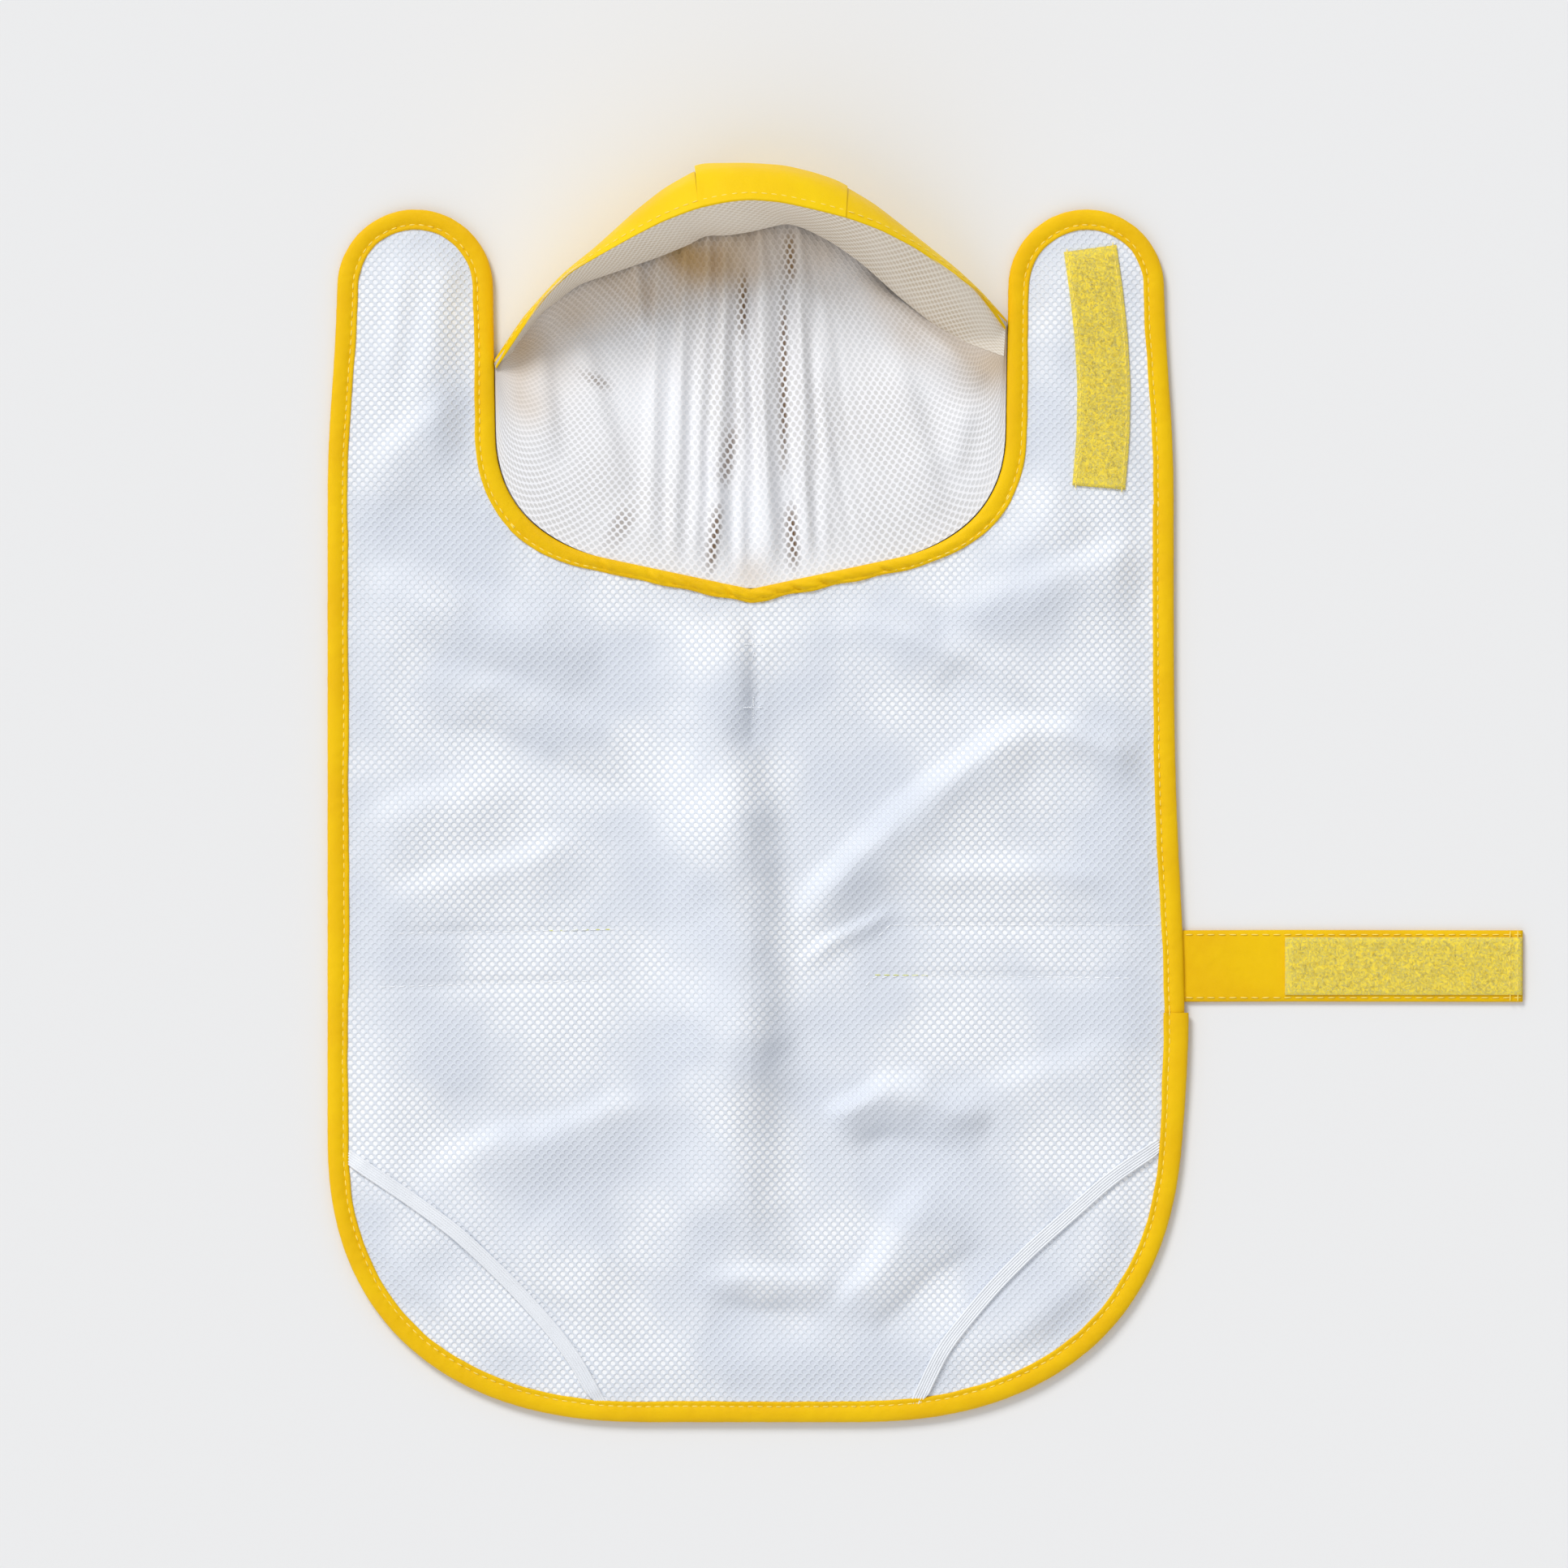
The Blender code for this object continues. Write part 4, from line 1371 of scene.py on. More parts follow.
@dataclass
class Edging:
    """The yellow binding round the coat, with its row of stitches."""

    pattern: Pattern
    folds: Folds
    room: Workroom
    pitch: float = 4.4 * MM
    step: float = 1.0 * MM
    twist_reach: float = 0.062
    neck_width: float = 6.7 * MM
    tab_width: float = 9.6 * MM
    side_width: float = 9.8 * MM
    cloth: float = 0.45 * MM

    def line(self, side: Side) -> tuple[np.ndarray, np.ndarray, np.ndarray]:
        """A half's edge in close steps.

        Args:
            side: which half.

        Returns:
            The places, their inward directions, and how far round each one is.
        """
        line = respaced(self.pattern.half(side), self.step)
        way = eased(inward(line, side), 6)
        way[0], way[-1] = (0, -1), (0, 1)
        way /= np.linalg.norm(way, axis=1)[:, None]
        return line, way, np.arange(len(line)) * self.step

    def strip(self, name: str, side: Side, first: int, last: int, section: Section,
              replaced: tuple[str, ...], seed: float,
              toward: Section | None = None) -> tuple[bpy.types.Object, bpy.types.Object]:
        """One length of binding and its stitches.

        Args:
            name: the piece's name.
            side: which half it is on.
            first: the first step along the half's edge.
            last: the last one.
            section: its shape across.
            replaced: the frame nodes it stands for.
            seed: which noise crumples it.
            toward: the section it eases into at its last step, if any.

        Returns:
            The binding and the stitches.
        """
        line, way, run = self.line(side)
        at = slice(first, last + 1)
        line, way, run = line[at], way[at], run[at] * (1 if side is Side.RIGHT else -1)
        spots = np.array(section.spots)
        across = run_along(spots * (section.width, MM))
        rows = np.empty((len(line), len(spots), 3))
        here = run * 0
        lapping = np.exp(-((np.abs(run) - abs(run[0])) / section.fade) ** 2)
        wide = (section.width + (section.outward * 0.8) * lapping) * (
            1 + 0.055 * waver(run, here, 0.055, seed) + 0.03 * waver(run, here, 0.011, seed + 3))
        neck = section.twisted
        near_point = np.exp(-(run / self.twist_reach) ** 2) if neck else here
        ease = smooth(abs(run[-1]) - 0.045, abs(run[-1]), np.abs(run)) if toward else here
        wide *= 1 + ease * ((toward or section).width / section.width - 1)
        for j, (share, height) in enumerate(spots):
            if toward:
                share = share + (toward.spots[j][0] - share) * ease
                height = height + (toward.spots[j][1] - height) * ease
            on_top = j < UPPER_SPOTS
            upper = 1.0 if on_top else 0.15
            slant = run + across[j] * (2.4 if neck else 0.6)
            rumple = (waver(slant, here + across[j], section.ripple, seed)
                      + 0.6 * waver(slant, here + across[j] * 2, section.ripple * 0.42, seed + 9))
            sewn = np.exp(-((share - section.groove) / 0.09) ** 2) if on_top else 0.0
            phase = (run * 0.9 + across[j] * 2.2) / (2.9 * MM) + 1.5 * waver(run, here, 0.02, seed + 5)
            twist = near_point * (np.abs(np.sin(phase)) ** 0.7 - 0.5) * 1.5 * MM
            body = np.sin(np.pi * np.clip(share, 0.0, 1.0)) if on_top else 0.0
            z = (height * MM + section.lift * upper * lapping + upper * section.crumple * rumple
                 + twist * body - sewn * 0.16 * MM * (1 + np.cos(run * 2 * math.pi / self.pitch)))
            for at in NECK_CREASES if neck else ():
                gone = (run - at - (share - 0.5) * 7.0 * MM) / (1.3 * MM)
                z = z + body * MM * (0.75 * np.exp(-((gone - 2.2) / 2.0) ** 2) - 1.2 * np.exp(-gone ** 2))
            inner = share * wide + 0.10 * MM * rumple * (1 - share) - section.outward * lapping
            inner = inner + near_point * 0.45 * MM * np.sin(run / (3.7 * MM)) * share
            rows[:, j, :2] = line + way * inner[:, None]
            rows[:, j, 2] = z
        item = swept(name, rows, close_ends=False, round_section=False)
        if side is Side.LEFT:
            item.data.flip_normals()
        thicken(item, self.cloth)
        paint(item, self.room.materials[Finish.BINDING], Slot.BINDING, *replaced)
        groove = int(np.argmin(np.abs(spots[:UPPER_SPOTS - 1, 0] - section.groove)))
        path = rows[:, groove].copy()
        path[:, 2] += (0.12 - 1.4 * near_point) * MM
        sewing = self.room.sew(name + "_stitches", path, Pitch=self.pitch)
        return item, sewing

    def build(self) -> None:
        """Bind both halves, in lengths that end at the cloth's cuts and at the lap."""
        for side in Side:
            line, _, _ = self.line(side)
            place, away = self.folds.flank(side)
            level = (line - place[:2]) @ away[:2]
            top = int(np.argmax(level > 0))
            low = int(np.nonzero(line[:, 1] > self.folds.tab_split(side))[0][-1])
            end, name, right = len(line) - 1, side.value, side is Side.RIGHT
            neck = Section.rolled(self.neck_width)
            tab_section, side_section = Section.flat(self.tab_width), Section.flat(self.side_width)
            for piece in self.strip(f"binding_{name}_neck", side, 0, top, neck,
                                    () if right else ("neck_binding",), 2.5, tab_section):
                self.folds.bend_flank(piece, side)
            for piece in self.strip(f"binding_{name}_tab", side, top, low, tab_section,
                                    (f"{name}_tab_binding",), 4.5 if right else 14.5):
                self.folds.bend_tab(piece, side)
            if not right:
                for piece in self.strip("binding_left_side", side, low, end, side_section,
                                        ("left_side_binding", "hem_binding"), 8.5):
                    self.folds.bend_flank(piece, side)
                continue
            lap = int(np.nonzero(line[:, 1] > self.pattern.lap_y)[0][-1])
            for piece in self.strip("binding_right_side", side, low, min(end, lap + LAP_STEPS), side_section,
                                    ("right_side_binding",), 6.5):
                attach(piece, "right_flank")
            lapped = Section.flat(self.side_width, outward=1.9 * MM, lift=0.75 * MM)
            for piece in self.strip("binding_right_lower", side, lap, end, lapped,
                                    ("lapped_binding_end",), 7.5):
                self.folds.bend_flank(piece, side)


# ------------------------------------------------------------------ fastenings


SLIT_X, SLIT_ENDS = 0.0012, (0.3590, 0.3296)
TAB_TAPE_LINE = ((0.1588, 0.5444), (0.1618, 0.523), (0.1640, 0.5026), (0.1652, 0.4800), (0.1648, 0.4560),
                 (0.1628, 0.4325))
LEG_ELASTICS = {
    Side.LEFT: ((-0.1893, 0.1200), (-0.1592, 0.1001), (-0.1372, 0.0842), (-0.1170, 0.0652),
                (-0.0980, 0.0450), (-0.0836, 0.0275), (-0.0702, 0.0030)),
    Side.RIGHT: ((0.1922, 0.1254), (0.1687, 0.1100), (0.1524, 0.0952), (0.1319, 0.0773),
                 (0.1144, 0.0598), (0.1007, 0.0435), (0.0897, 0.0298), (0.0775, 0.0032)),
}


def slab(name: str, centre: np.ndarray, width: float, z: Height, thickness: float,
         rounding: float = 0.3 * MM, fill: int = 14) -> bpy.types.Object:
    """A flat band along a line, with rounded edges.

    Args:
        name: the piece's name.
        centre: rows of x and y along its middle.
        width: across it.
        z: a function of x and y that gives its lower face.
        thickness: its height.
        rounding: how far its edges are rounded.
        fill: how many points cross its top.

    Returns:
        The closed band.
    """
    line = respaced(centre, 2 * MM)
    _, side = along_and_across(line)
    half = width / 2
    top = [(u, thickness) for u in np.linspace(half - rounding, -half + rounding, fill)]
    low = [(u, 0.0) for u in np.linspace(-half + rounding, half - rounding, fill)]
    loop = [(half, thickness * 0.55)] + top + [(-half, thickness * 0.55)] + low
    rows = np.empty((len(line), len(loop), 3))
    for j, (u, rise) in enumerate(loop):
        rows[:, j, :2] = line + side * u
        rows[:, j, 2] = z(rows[:, j, 0], rows[:, j, 1]) + rise
    return facing_out(swept(name, rows))


@dataclass
class Fastenings:
    """The tapes, the belly strap and the leg elastics."""

    folds: Folds
    drape: Drape
    room: Workroom
    tape_width: float = 25 * MM
    tape_thickness: float = 0.8 * MM
    hook_thickness: float = 0.9 * MM
    loop_density: float = 0.80e6

    def fuzz(self, name: str, centre: np.ndarray, width: float, z: Height, body: str,
             seed: int) -> bpy.types.Object:
        """The loops that stand on a tape's face.

        Args:
            name: the piece's name.
            centre: the tape's middle line.
            width: the face's width.
            z: a function of x and y that gives its height.
            body: the body it rides.
            seed: which scatter of loops.

        Returns:
            The loops.
        """
        line = respaced(centre, 4 * MM)
        _, side = along_and_across(line)
        rows = np.empty((len(line), 5, 3))
        for j, u in enumerate(np.linspace(width / 2, -width / 2, 5)):
            rows[:, j, :2] = line + side * u
            rows[:, j, 2] = z(rows[:, j, 0], rows[:, j, 1])
        face = swept(name + "_face", rows, round_section=False, uvs=False)
        item = grown(name, face, self.room.pile, self.room.materials[Finish.TAPE],
                     Density=self.loop_density, Seed=seed)
        paint(item, self.room.materials[Finish.TAPE], Slot.TAPE)
        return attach(item, body)

    def tab_tape(self) -> None:
        """The loop tape on the right tab, sewn along both its long sides."""
        centre = eased(respaced(np.array(TAB_TAPE_LINE), 2 * MM), 4)
        base: Height = lambda x, y: self.drape.lining(x, y) + 0.15 * MM
        item = slab("tape_tab", centre, self.tape_width, base, self.tape_thickness)
        paint(item, self.room.materials[Finish.TAPE], Slot.TAPE, "right_tab_tape")
        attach(item, "right_tab")
        self.fuzz("tape_tab_loops", centre[2:-2], self.tape_width - 5.4 * MM,
                  lambda x, y: base(x, y) + self.tape_thickness, "right_tab", 14)
        _, side = along_and_across(centre)
        for name, share in (("inner", 1), ("outer", -1)):
            row = centre + side * share * (self.tape_width / 2 - 1.7 * MM)
            path = np.column_stack([row, base(row[:, 0], row[:, 1]) + self.tape_thickness + 0.05 * MM])
            sewing = self.room.sew(f"tape_tab_sewing_{name}", path, slot=Slot.TAPE, Pitch=4.2 * MM)
            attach(sewing, "right_tab")

    def under_shell(self, x: np.ndarray, y: np.ndarray) -> np.ndarray:
        """The lower face of a tape sewn under the shell, in metres."""
        return self.drape.shell(x, y) - 1.05 * MM

    def under_tapes(self) -> None:
        """The hook tapes under the coat: one on each flank, reaching in to the back, one on the left tab."""
        for side in Side:
            low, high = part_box(f"{side.value}_belly_tape")
            inner_low, inner_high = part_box(f"{side.value}_tape_inner_end")
            y = (low.y + high.y) / 2
            ends = (min(low.x, inner_low.x), max(high.x, inner_high.x))
            centre = np.array([(ends[0], y), (ends[1], y)])
            item = slab(f"tape_{side.value}_belly", centre, high.y - low.y,
                        self.under_shell, self.hook_thickness)
            paint(item, self.room.materials[Finish.HOOK], Slot.TAPE, f"{side.value}_belly_tape",
                  f"{side.value}_tape_inner_end")
            self.folds.bend_flank(item, side)
        low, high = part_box("left_tab_tape")
        x = (low.x + high.x) / 2
        item = slab("tape_left_tab", np.array([(x - 2 * MM, low.y), (x + 2 * MM, high.y)]), self.tape_width,
                    self.under_shell, self.hook_thickness)
        paint(item, self.room.materials[Finish.HOOK], Slot.TAPE, "left_tab_tape")
        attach(item, "left_tab")

    def tape_sewing(self) -> None:
        """The rows that hold the under tapes, as they show through on the lining."""
        rows = {"left_top": (Side.LEFT, (-0.1630, 0.2240), (-0.0646, 0.2259), (-0.0935, -0.0654)),
                "left_low": (Side.LEFT, (-0.1721, 0.1989), (-0.0684, 0.2020), None),
                "right_top": (Side.RIGHT, (0.0650, 0.2278), (0.1896, 0.2278), None),
                "right_low": (Side.RIGHT, (0.0589, 0.2046), (0.1759, 0.2031), (0.0589, 0.0825))}
        for name, (side, start, end, bright) in rows.items():
            line = np.array([start, end])
            if side is Side.RIGHT:
                line = np.vstack([[start[0] - 0.004, start[1] - 0.004], line])
            row = respaced(line, 2 * MM)
            path = np.column_stack([row, self.drape.lining(row[:, 0], row[:, 1]) + 0.05 * MM])
            parts = {"white": np.ones(len(row), bool)}
            if bright:
                lit = (row[:, 0] > bright[0]) & (row[:, 0] < bright[1])
                parts = {"white": ~lit, "bright": lit}
            for kind, chosen in parts.items():
                finish = Finish.WHITE_THREAD if kind == "white" else Finish.GREEN_THREAD
                item = self.room.sew(f"tape_sewing_{name}_{kind}", path[chosen], finish, Slot.LINING,
                                     Pitch=4.4 * MM, Length=3.4 * MM, Thread=0.5 * MM)
                self.folds.bend_flank(item, side)

    def bar_tacks(self) -> None:
        """Two small crosses of dense thread at the ends of the leash slit."""
        for n, y in enumerate(SLIT_ENDS):
            for way, run in (("across", (4.2 * MM, 0.0)), ("along", (0.0, 5.0 * MM))):
                ends = np.array([(SLIT_X - run[0], y - run[1]), (SLIT_X + run[0], y + run[1])])
                line = respaced(ends, 1 * MM)
                path = np.column_stack([line, self.drape.lining(line[:, 0], line[:, 1]) + 0.1 * MM])
                item = self.room.sew(f"bar_tack_{way}_{n}", path, Finish.WHITE_THREAD, Slot.LINING,
                                     Pitch=0.7 * MM, Length=1.5 * MM, Thread=0.45 * MM, Jitter=1.5)
                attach(item, "back")

    def strap(self) -> None:
        """The belly strap: two layers of coated cloth, loop tape on its end, sewn all round."""
        outer_low, outer_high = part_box("strap_outer_layer")
        inner_low, inner_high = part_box("strap_inner_layer")
        tape_low, tape_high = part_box("strap_tape")
        fold = Vector(joint("belly_strap_fold")["pos_m"])
        start = fold.x - 9 * MM
        tip, y, width = inner_high.x, fold.y, inner_high.y - inner_low.y
        puff: Height = lambda x, v: (0.25 * MM * (1 + waver(x, v, 0.016, 2.2))
                                     * smooth(0, 0.006, width / 2 - abs(v - y)))
        layers = (("strap_under", outer_low.z, outer_high.z - outer_low.z, "strap_outer_layer"),
                  ("strap_upper", inner_low.z, inner_high.z - inner_low.z, "strap_inner_layer"))
        line = np.array([(start, y), (fold.x + 0.05, y + 0.2 * MM), (tip, y)])
        for name, z, thick, node in layers:
            lift = (lambda x, v: z + puff(x, v)) if name == "strap_upper" else (lambda x, v: z + 0 * x)
            item = slab(name, line, width, lift, thick, 0.5 * MM)
            nodes = (node, "strap_anchor") if name == "strap_upper" else (node,)
            paint(item, self.room.materials[Finish.BINDING], Slot.SHELL, *nodes)
            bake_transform(item)
        top = inner_high.z + 0.30 * MM
        tape_line = np.array([(tape_low.x, y), (tape_high.x, y)])
        item = slab("strap_loop_tape", tape_line, tape_high.y - tape_low.y, lambda x, v: top + 0 * x,
                    self.tape_thickness)
        paint(item, self.room.materials[Finish.TAPE], Slot.TAPE, "strap_tape")
        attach(item, "belly_strap")
        tape_line[:, 0] += (3 * MM, -4 * MM)
        self.fuzz("strap_loops", tape_line, tape_high.y - tape_low.y - 3.6 * MM,
                  lambda x, v: top + self.tape_thickness + 0 * x, "belly_strap", 11)
        half = width / 2 - 2.0 * MM
        rows = {"top": [(fold.x + 1 * MM, y + half), (tip - 2.4 * MM, y + half)],
                "end": [(tip - 2.4 * MM, y + half), (tip - 2.4 * MM, y - half)],
                "low": [(tip - 2.4 * MM, y - half), (fold.x + 1 * MM, y - half)],
                "tape_end": [(tip - 6.0 * MM, y + half), (tip - 6.0 * MM, y - half)]}
        for name, row in rows.items():
            line = respaced(np.array(row), 3 * MM)
            on_tape = name in ("end", "tape_end")
            z = top + (0.95 * MM if on_tape else 0.0)
            path = np.column_stack([line, np.full(len(line), z)])
            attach(self.room.sew(f"strap_sewing_{name}", path, slot=Slot.SHELL, Pitch=5.0 * MM,
                                  Length=3.7 * MM), "belly_strap")

    @staticmethod
    def trim_to_hinge(rows: np.ndarray, hinge: dict) -> None:
        """Draw a band's corners in to its hinge line, so that they don't dip into the cloth as it lifts.

        Args:
            rows: the band's sections, changed in place.
            hinge: the joint it turns on.
        """
        place, axis = np.array(hinge["pos_m"][:2]), np.array(hinge["axis"][:2])
        axis = axis / np.linalg.norm(axis)
        square = np.array([-axis[1], axis[0]])
        if (rows[len(rows) // 2, 0, :2] - place) @ square < 0:
            square = -square
        beyond = 0.92 * np.minimum((rows[..., :2] - place) @ square, 0)
        rows[..., :2] -= beyond[..., None] * square

    def elastic(self, side: Side, points: tuple[Point, ...]) -> None:
        """A leg elastic: a white ribbed band laid over the lining from edge to edge.

        Args:
            side: which leg.
            points: its middle line.
        """
        line, pitch = np.array(points), 1.4 * MM
        for _ in range(2):
            line = eased(respaced(line, pitch), 30)
        _, across = along_and_across(line)
        bed = eased(self.drape.lining(line[:, 0], line[:, 1]), 40)
        run = np.arange(len(line)) * pitch
        ends = np.minimum(run, run[-1] - run)
        tuck = 1.15 * MM * (1 - smooth(1.5 * MM, 9 * MM, ends))
        half, count = 3.3 * MM, 37
        spots = [(u, 1.05 * MM + 0.48 * MM * abs(math.sin(math.pi * 6 * (u + half) / (2 * half))))
                 for u in np.linspace(half, -half, count)]
        spots += [(-half, 0.3 * MM), (0.0, 0.1 * MM), (half, 0.3 * MM)]
        rows = np.empty((len(line), len(spots), 3))
        for j, (u, rise) in enumerate(spots):
            edge = line + across * u
            rows[:, j, :2] = edge
            bend = 0.10 * MM * waver(run, run * 0 + u * 40, 0.006, 6.6)
            local = self.drape.lining(edge[:, 0], edge[:, 1])
            rows[:, j, 2] = np.maximum(bed, local) + 0.1 * MM + rise + (bend if j < count else 0) - tuck
        self.trim_to_hinge(rows, joint(f"{side.value}_elastic_lift"))
        item = facing_out(swept(f"elastic_{side.value}", rows))
        paint(item, self.room.materials[Finish.ELASTIC], Slot.ELASTIC, f"{side.value}_leg_elastic")
        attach(item, f"{side.value}_leg_elastic")

    def build(self) -> None:
        """Make every fastening."""
        self.tab_tape()
        self.under_tapes()
        self.tape_sewing()
        self.bar_tacks()
        self.strap()
        for side, points in LEG_ELASTICS.items():
            self.elastic(side, points)


# ------------------------------------------------------------------ the hood


HOOD_FOLDS = (
    Fold((-0.017, 0.392), (-0.011, 0.562), 0.0036, 0.0080),
    Fold((-0.026, 0.396), (-0.020, 0.560), 0.0030, 0.0056),
    Fold((-0.036, 0.402), (-0.030, 0.555), 0.0036, 0.0058),
    Fold((-0.047, 0.410), (-0.043, 0.550), 0.0040, 0.0042),
    Fold((0.008, 0.392), (0.004, 0.562), 0.0040, 0.0088),
    Fold((-0.004, 0.396), (-0.004, 0.560), 0.0024, 0.0044),
    Fold((0.026, 0.398), (0.022, 0.560), 0.0034, 0.0066),
    Fold((0.036, 0.404), (0.033, 0.520), 0.0040, 0.0034),
    Fold((-0.054, 0.540), (-0.050, 0.505), 0.0036, 0.0060),
    Fold((-0.082, 0.505), (-0.062, 0.436), 0.0080, 0.0040),
    Fold((0.052, 0.528), (0.106, 0.484), 0.0070, 0.0062),
    Fold((0.066, 0.494), (0.086, 0.426), 0.0090, 0.0036),
    Fold((-0.100, 0.505), (-0.094, 0.450), 0.0070, 0.0030),
    Fold((0.100, 0.470), (0.094, 0.440), 0.0080, 0.0024),
)
# Slits where the hood lining's dots are painted dark brown as shade: each a line, its spread and its amount.
SHADED_SLITS = (
    Fold((-0.0030, 0.533), (-0.0034, 0.503), 0.0022, 1.0),
    Fold((0.0186, 0.552), (0.0192, 0.529), 0.0026, 1.0),
    Fold((0.0158, 0.527), (0.0158, 0.441), 0.0018, 1.0),
    Fold((-0.0080, 0.460), (-0.0122, 0.434), 0.0030, 0.8),
    Fold((-0.0145, 0.424), (-0.0186, 0.393), 0.0026, 1.0),
    Fold((0.0190, 0.424), (0.0210, 0.395), 0.0030, 1.0),
    Fold((-0.0700, 0.484), (-0.0720, 0.480), 0.0070, 0.6),
    Fold((-0.0640, 0.418), (-0.0560, 0.414), 0.0090, 0.5),
    Fold((0.0560, 0.556), (0.0900, 0.520), 0.0030, 0.6),
)
CROWN_SEAMS = (-0.0243, 0.0440)
CROWN_STEP = (2.5 * MM, 0.8 * MM)
FACING_ROWS = 12
# The height below which the slits' painted shade shows.
SLIT_SHADE_BELOW = 0.016
# Spots of painted shade on the hood lining: x, y and reach, in metres.
PAINTED_SHADE_SPOTS = ((-0.098, 0.494, 0.018), (-0.020, 0.539, 0.020), (0.111, 0.494, 0.014), (-0.104, 0.470, 0.010),
               (0.000, 0.392, 0.008))
SILHOUETTE = ((-0.1200, 0.4925), (-0.1060, 0.5128), (-0.0882, 0.5318), (-0.0722, 0.5447), (-0.0532, 0.5622),
              (-0.0403, 0.5725), (-0.0243, 0.5816), (-0.0019, 0.5823), (0.0156, 0.5816), (0.0285, 0.5789),
              (0.0410, 0.5751), (0.0574, 0.5653), (0.0764, 0.5504), (0.0958, 0.5352), (0.1083, 0.5238),
              (0.1199, 0.5112))
RIM = ((-0.1192, 0.4890), (-0.1055, 0.5079), (-0.0951, 0.5213), (-0.0836, 0.5323), (-0.0692, 0.5403),
       (-0.0547, 0.5483), (-0.0403, 0.5555), (-0.0251, 0.5612), (-0.0114, 0.5642), (-0.0004, 0.5654),
       (0.0141, 0.5642), (0.0300, 0.5608), (0.0467, 0.5566), (0.0604, 0.5517), (0.0764, 0.5437),
       (0.0908, 0.5342), (0.1053, 0.5244), (0.1192, 0.5072))
FACING_EDGE = ((-0.1080, 0.4990), (-0.0980, 0.5140), (-0.0802, 0.5275), (-0.0627, 0.5333), (-0.0437, 0.5398),
               (-0.0277, 0.5463), (-0.0213, 0.5504), (-0.0114, 0.5500), (0.0011, 0.5520), (0.0171, 0.5560),
               (0.0251, 0.5535), (0.0380, 0.5470), (0.0524, 0.5368), (0.0684, 0.5223), (0.0844, 0.5094),
               (0.1003, 0.5005), (0.1184, 0.4940))


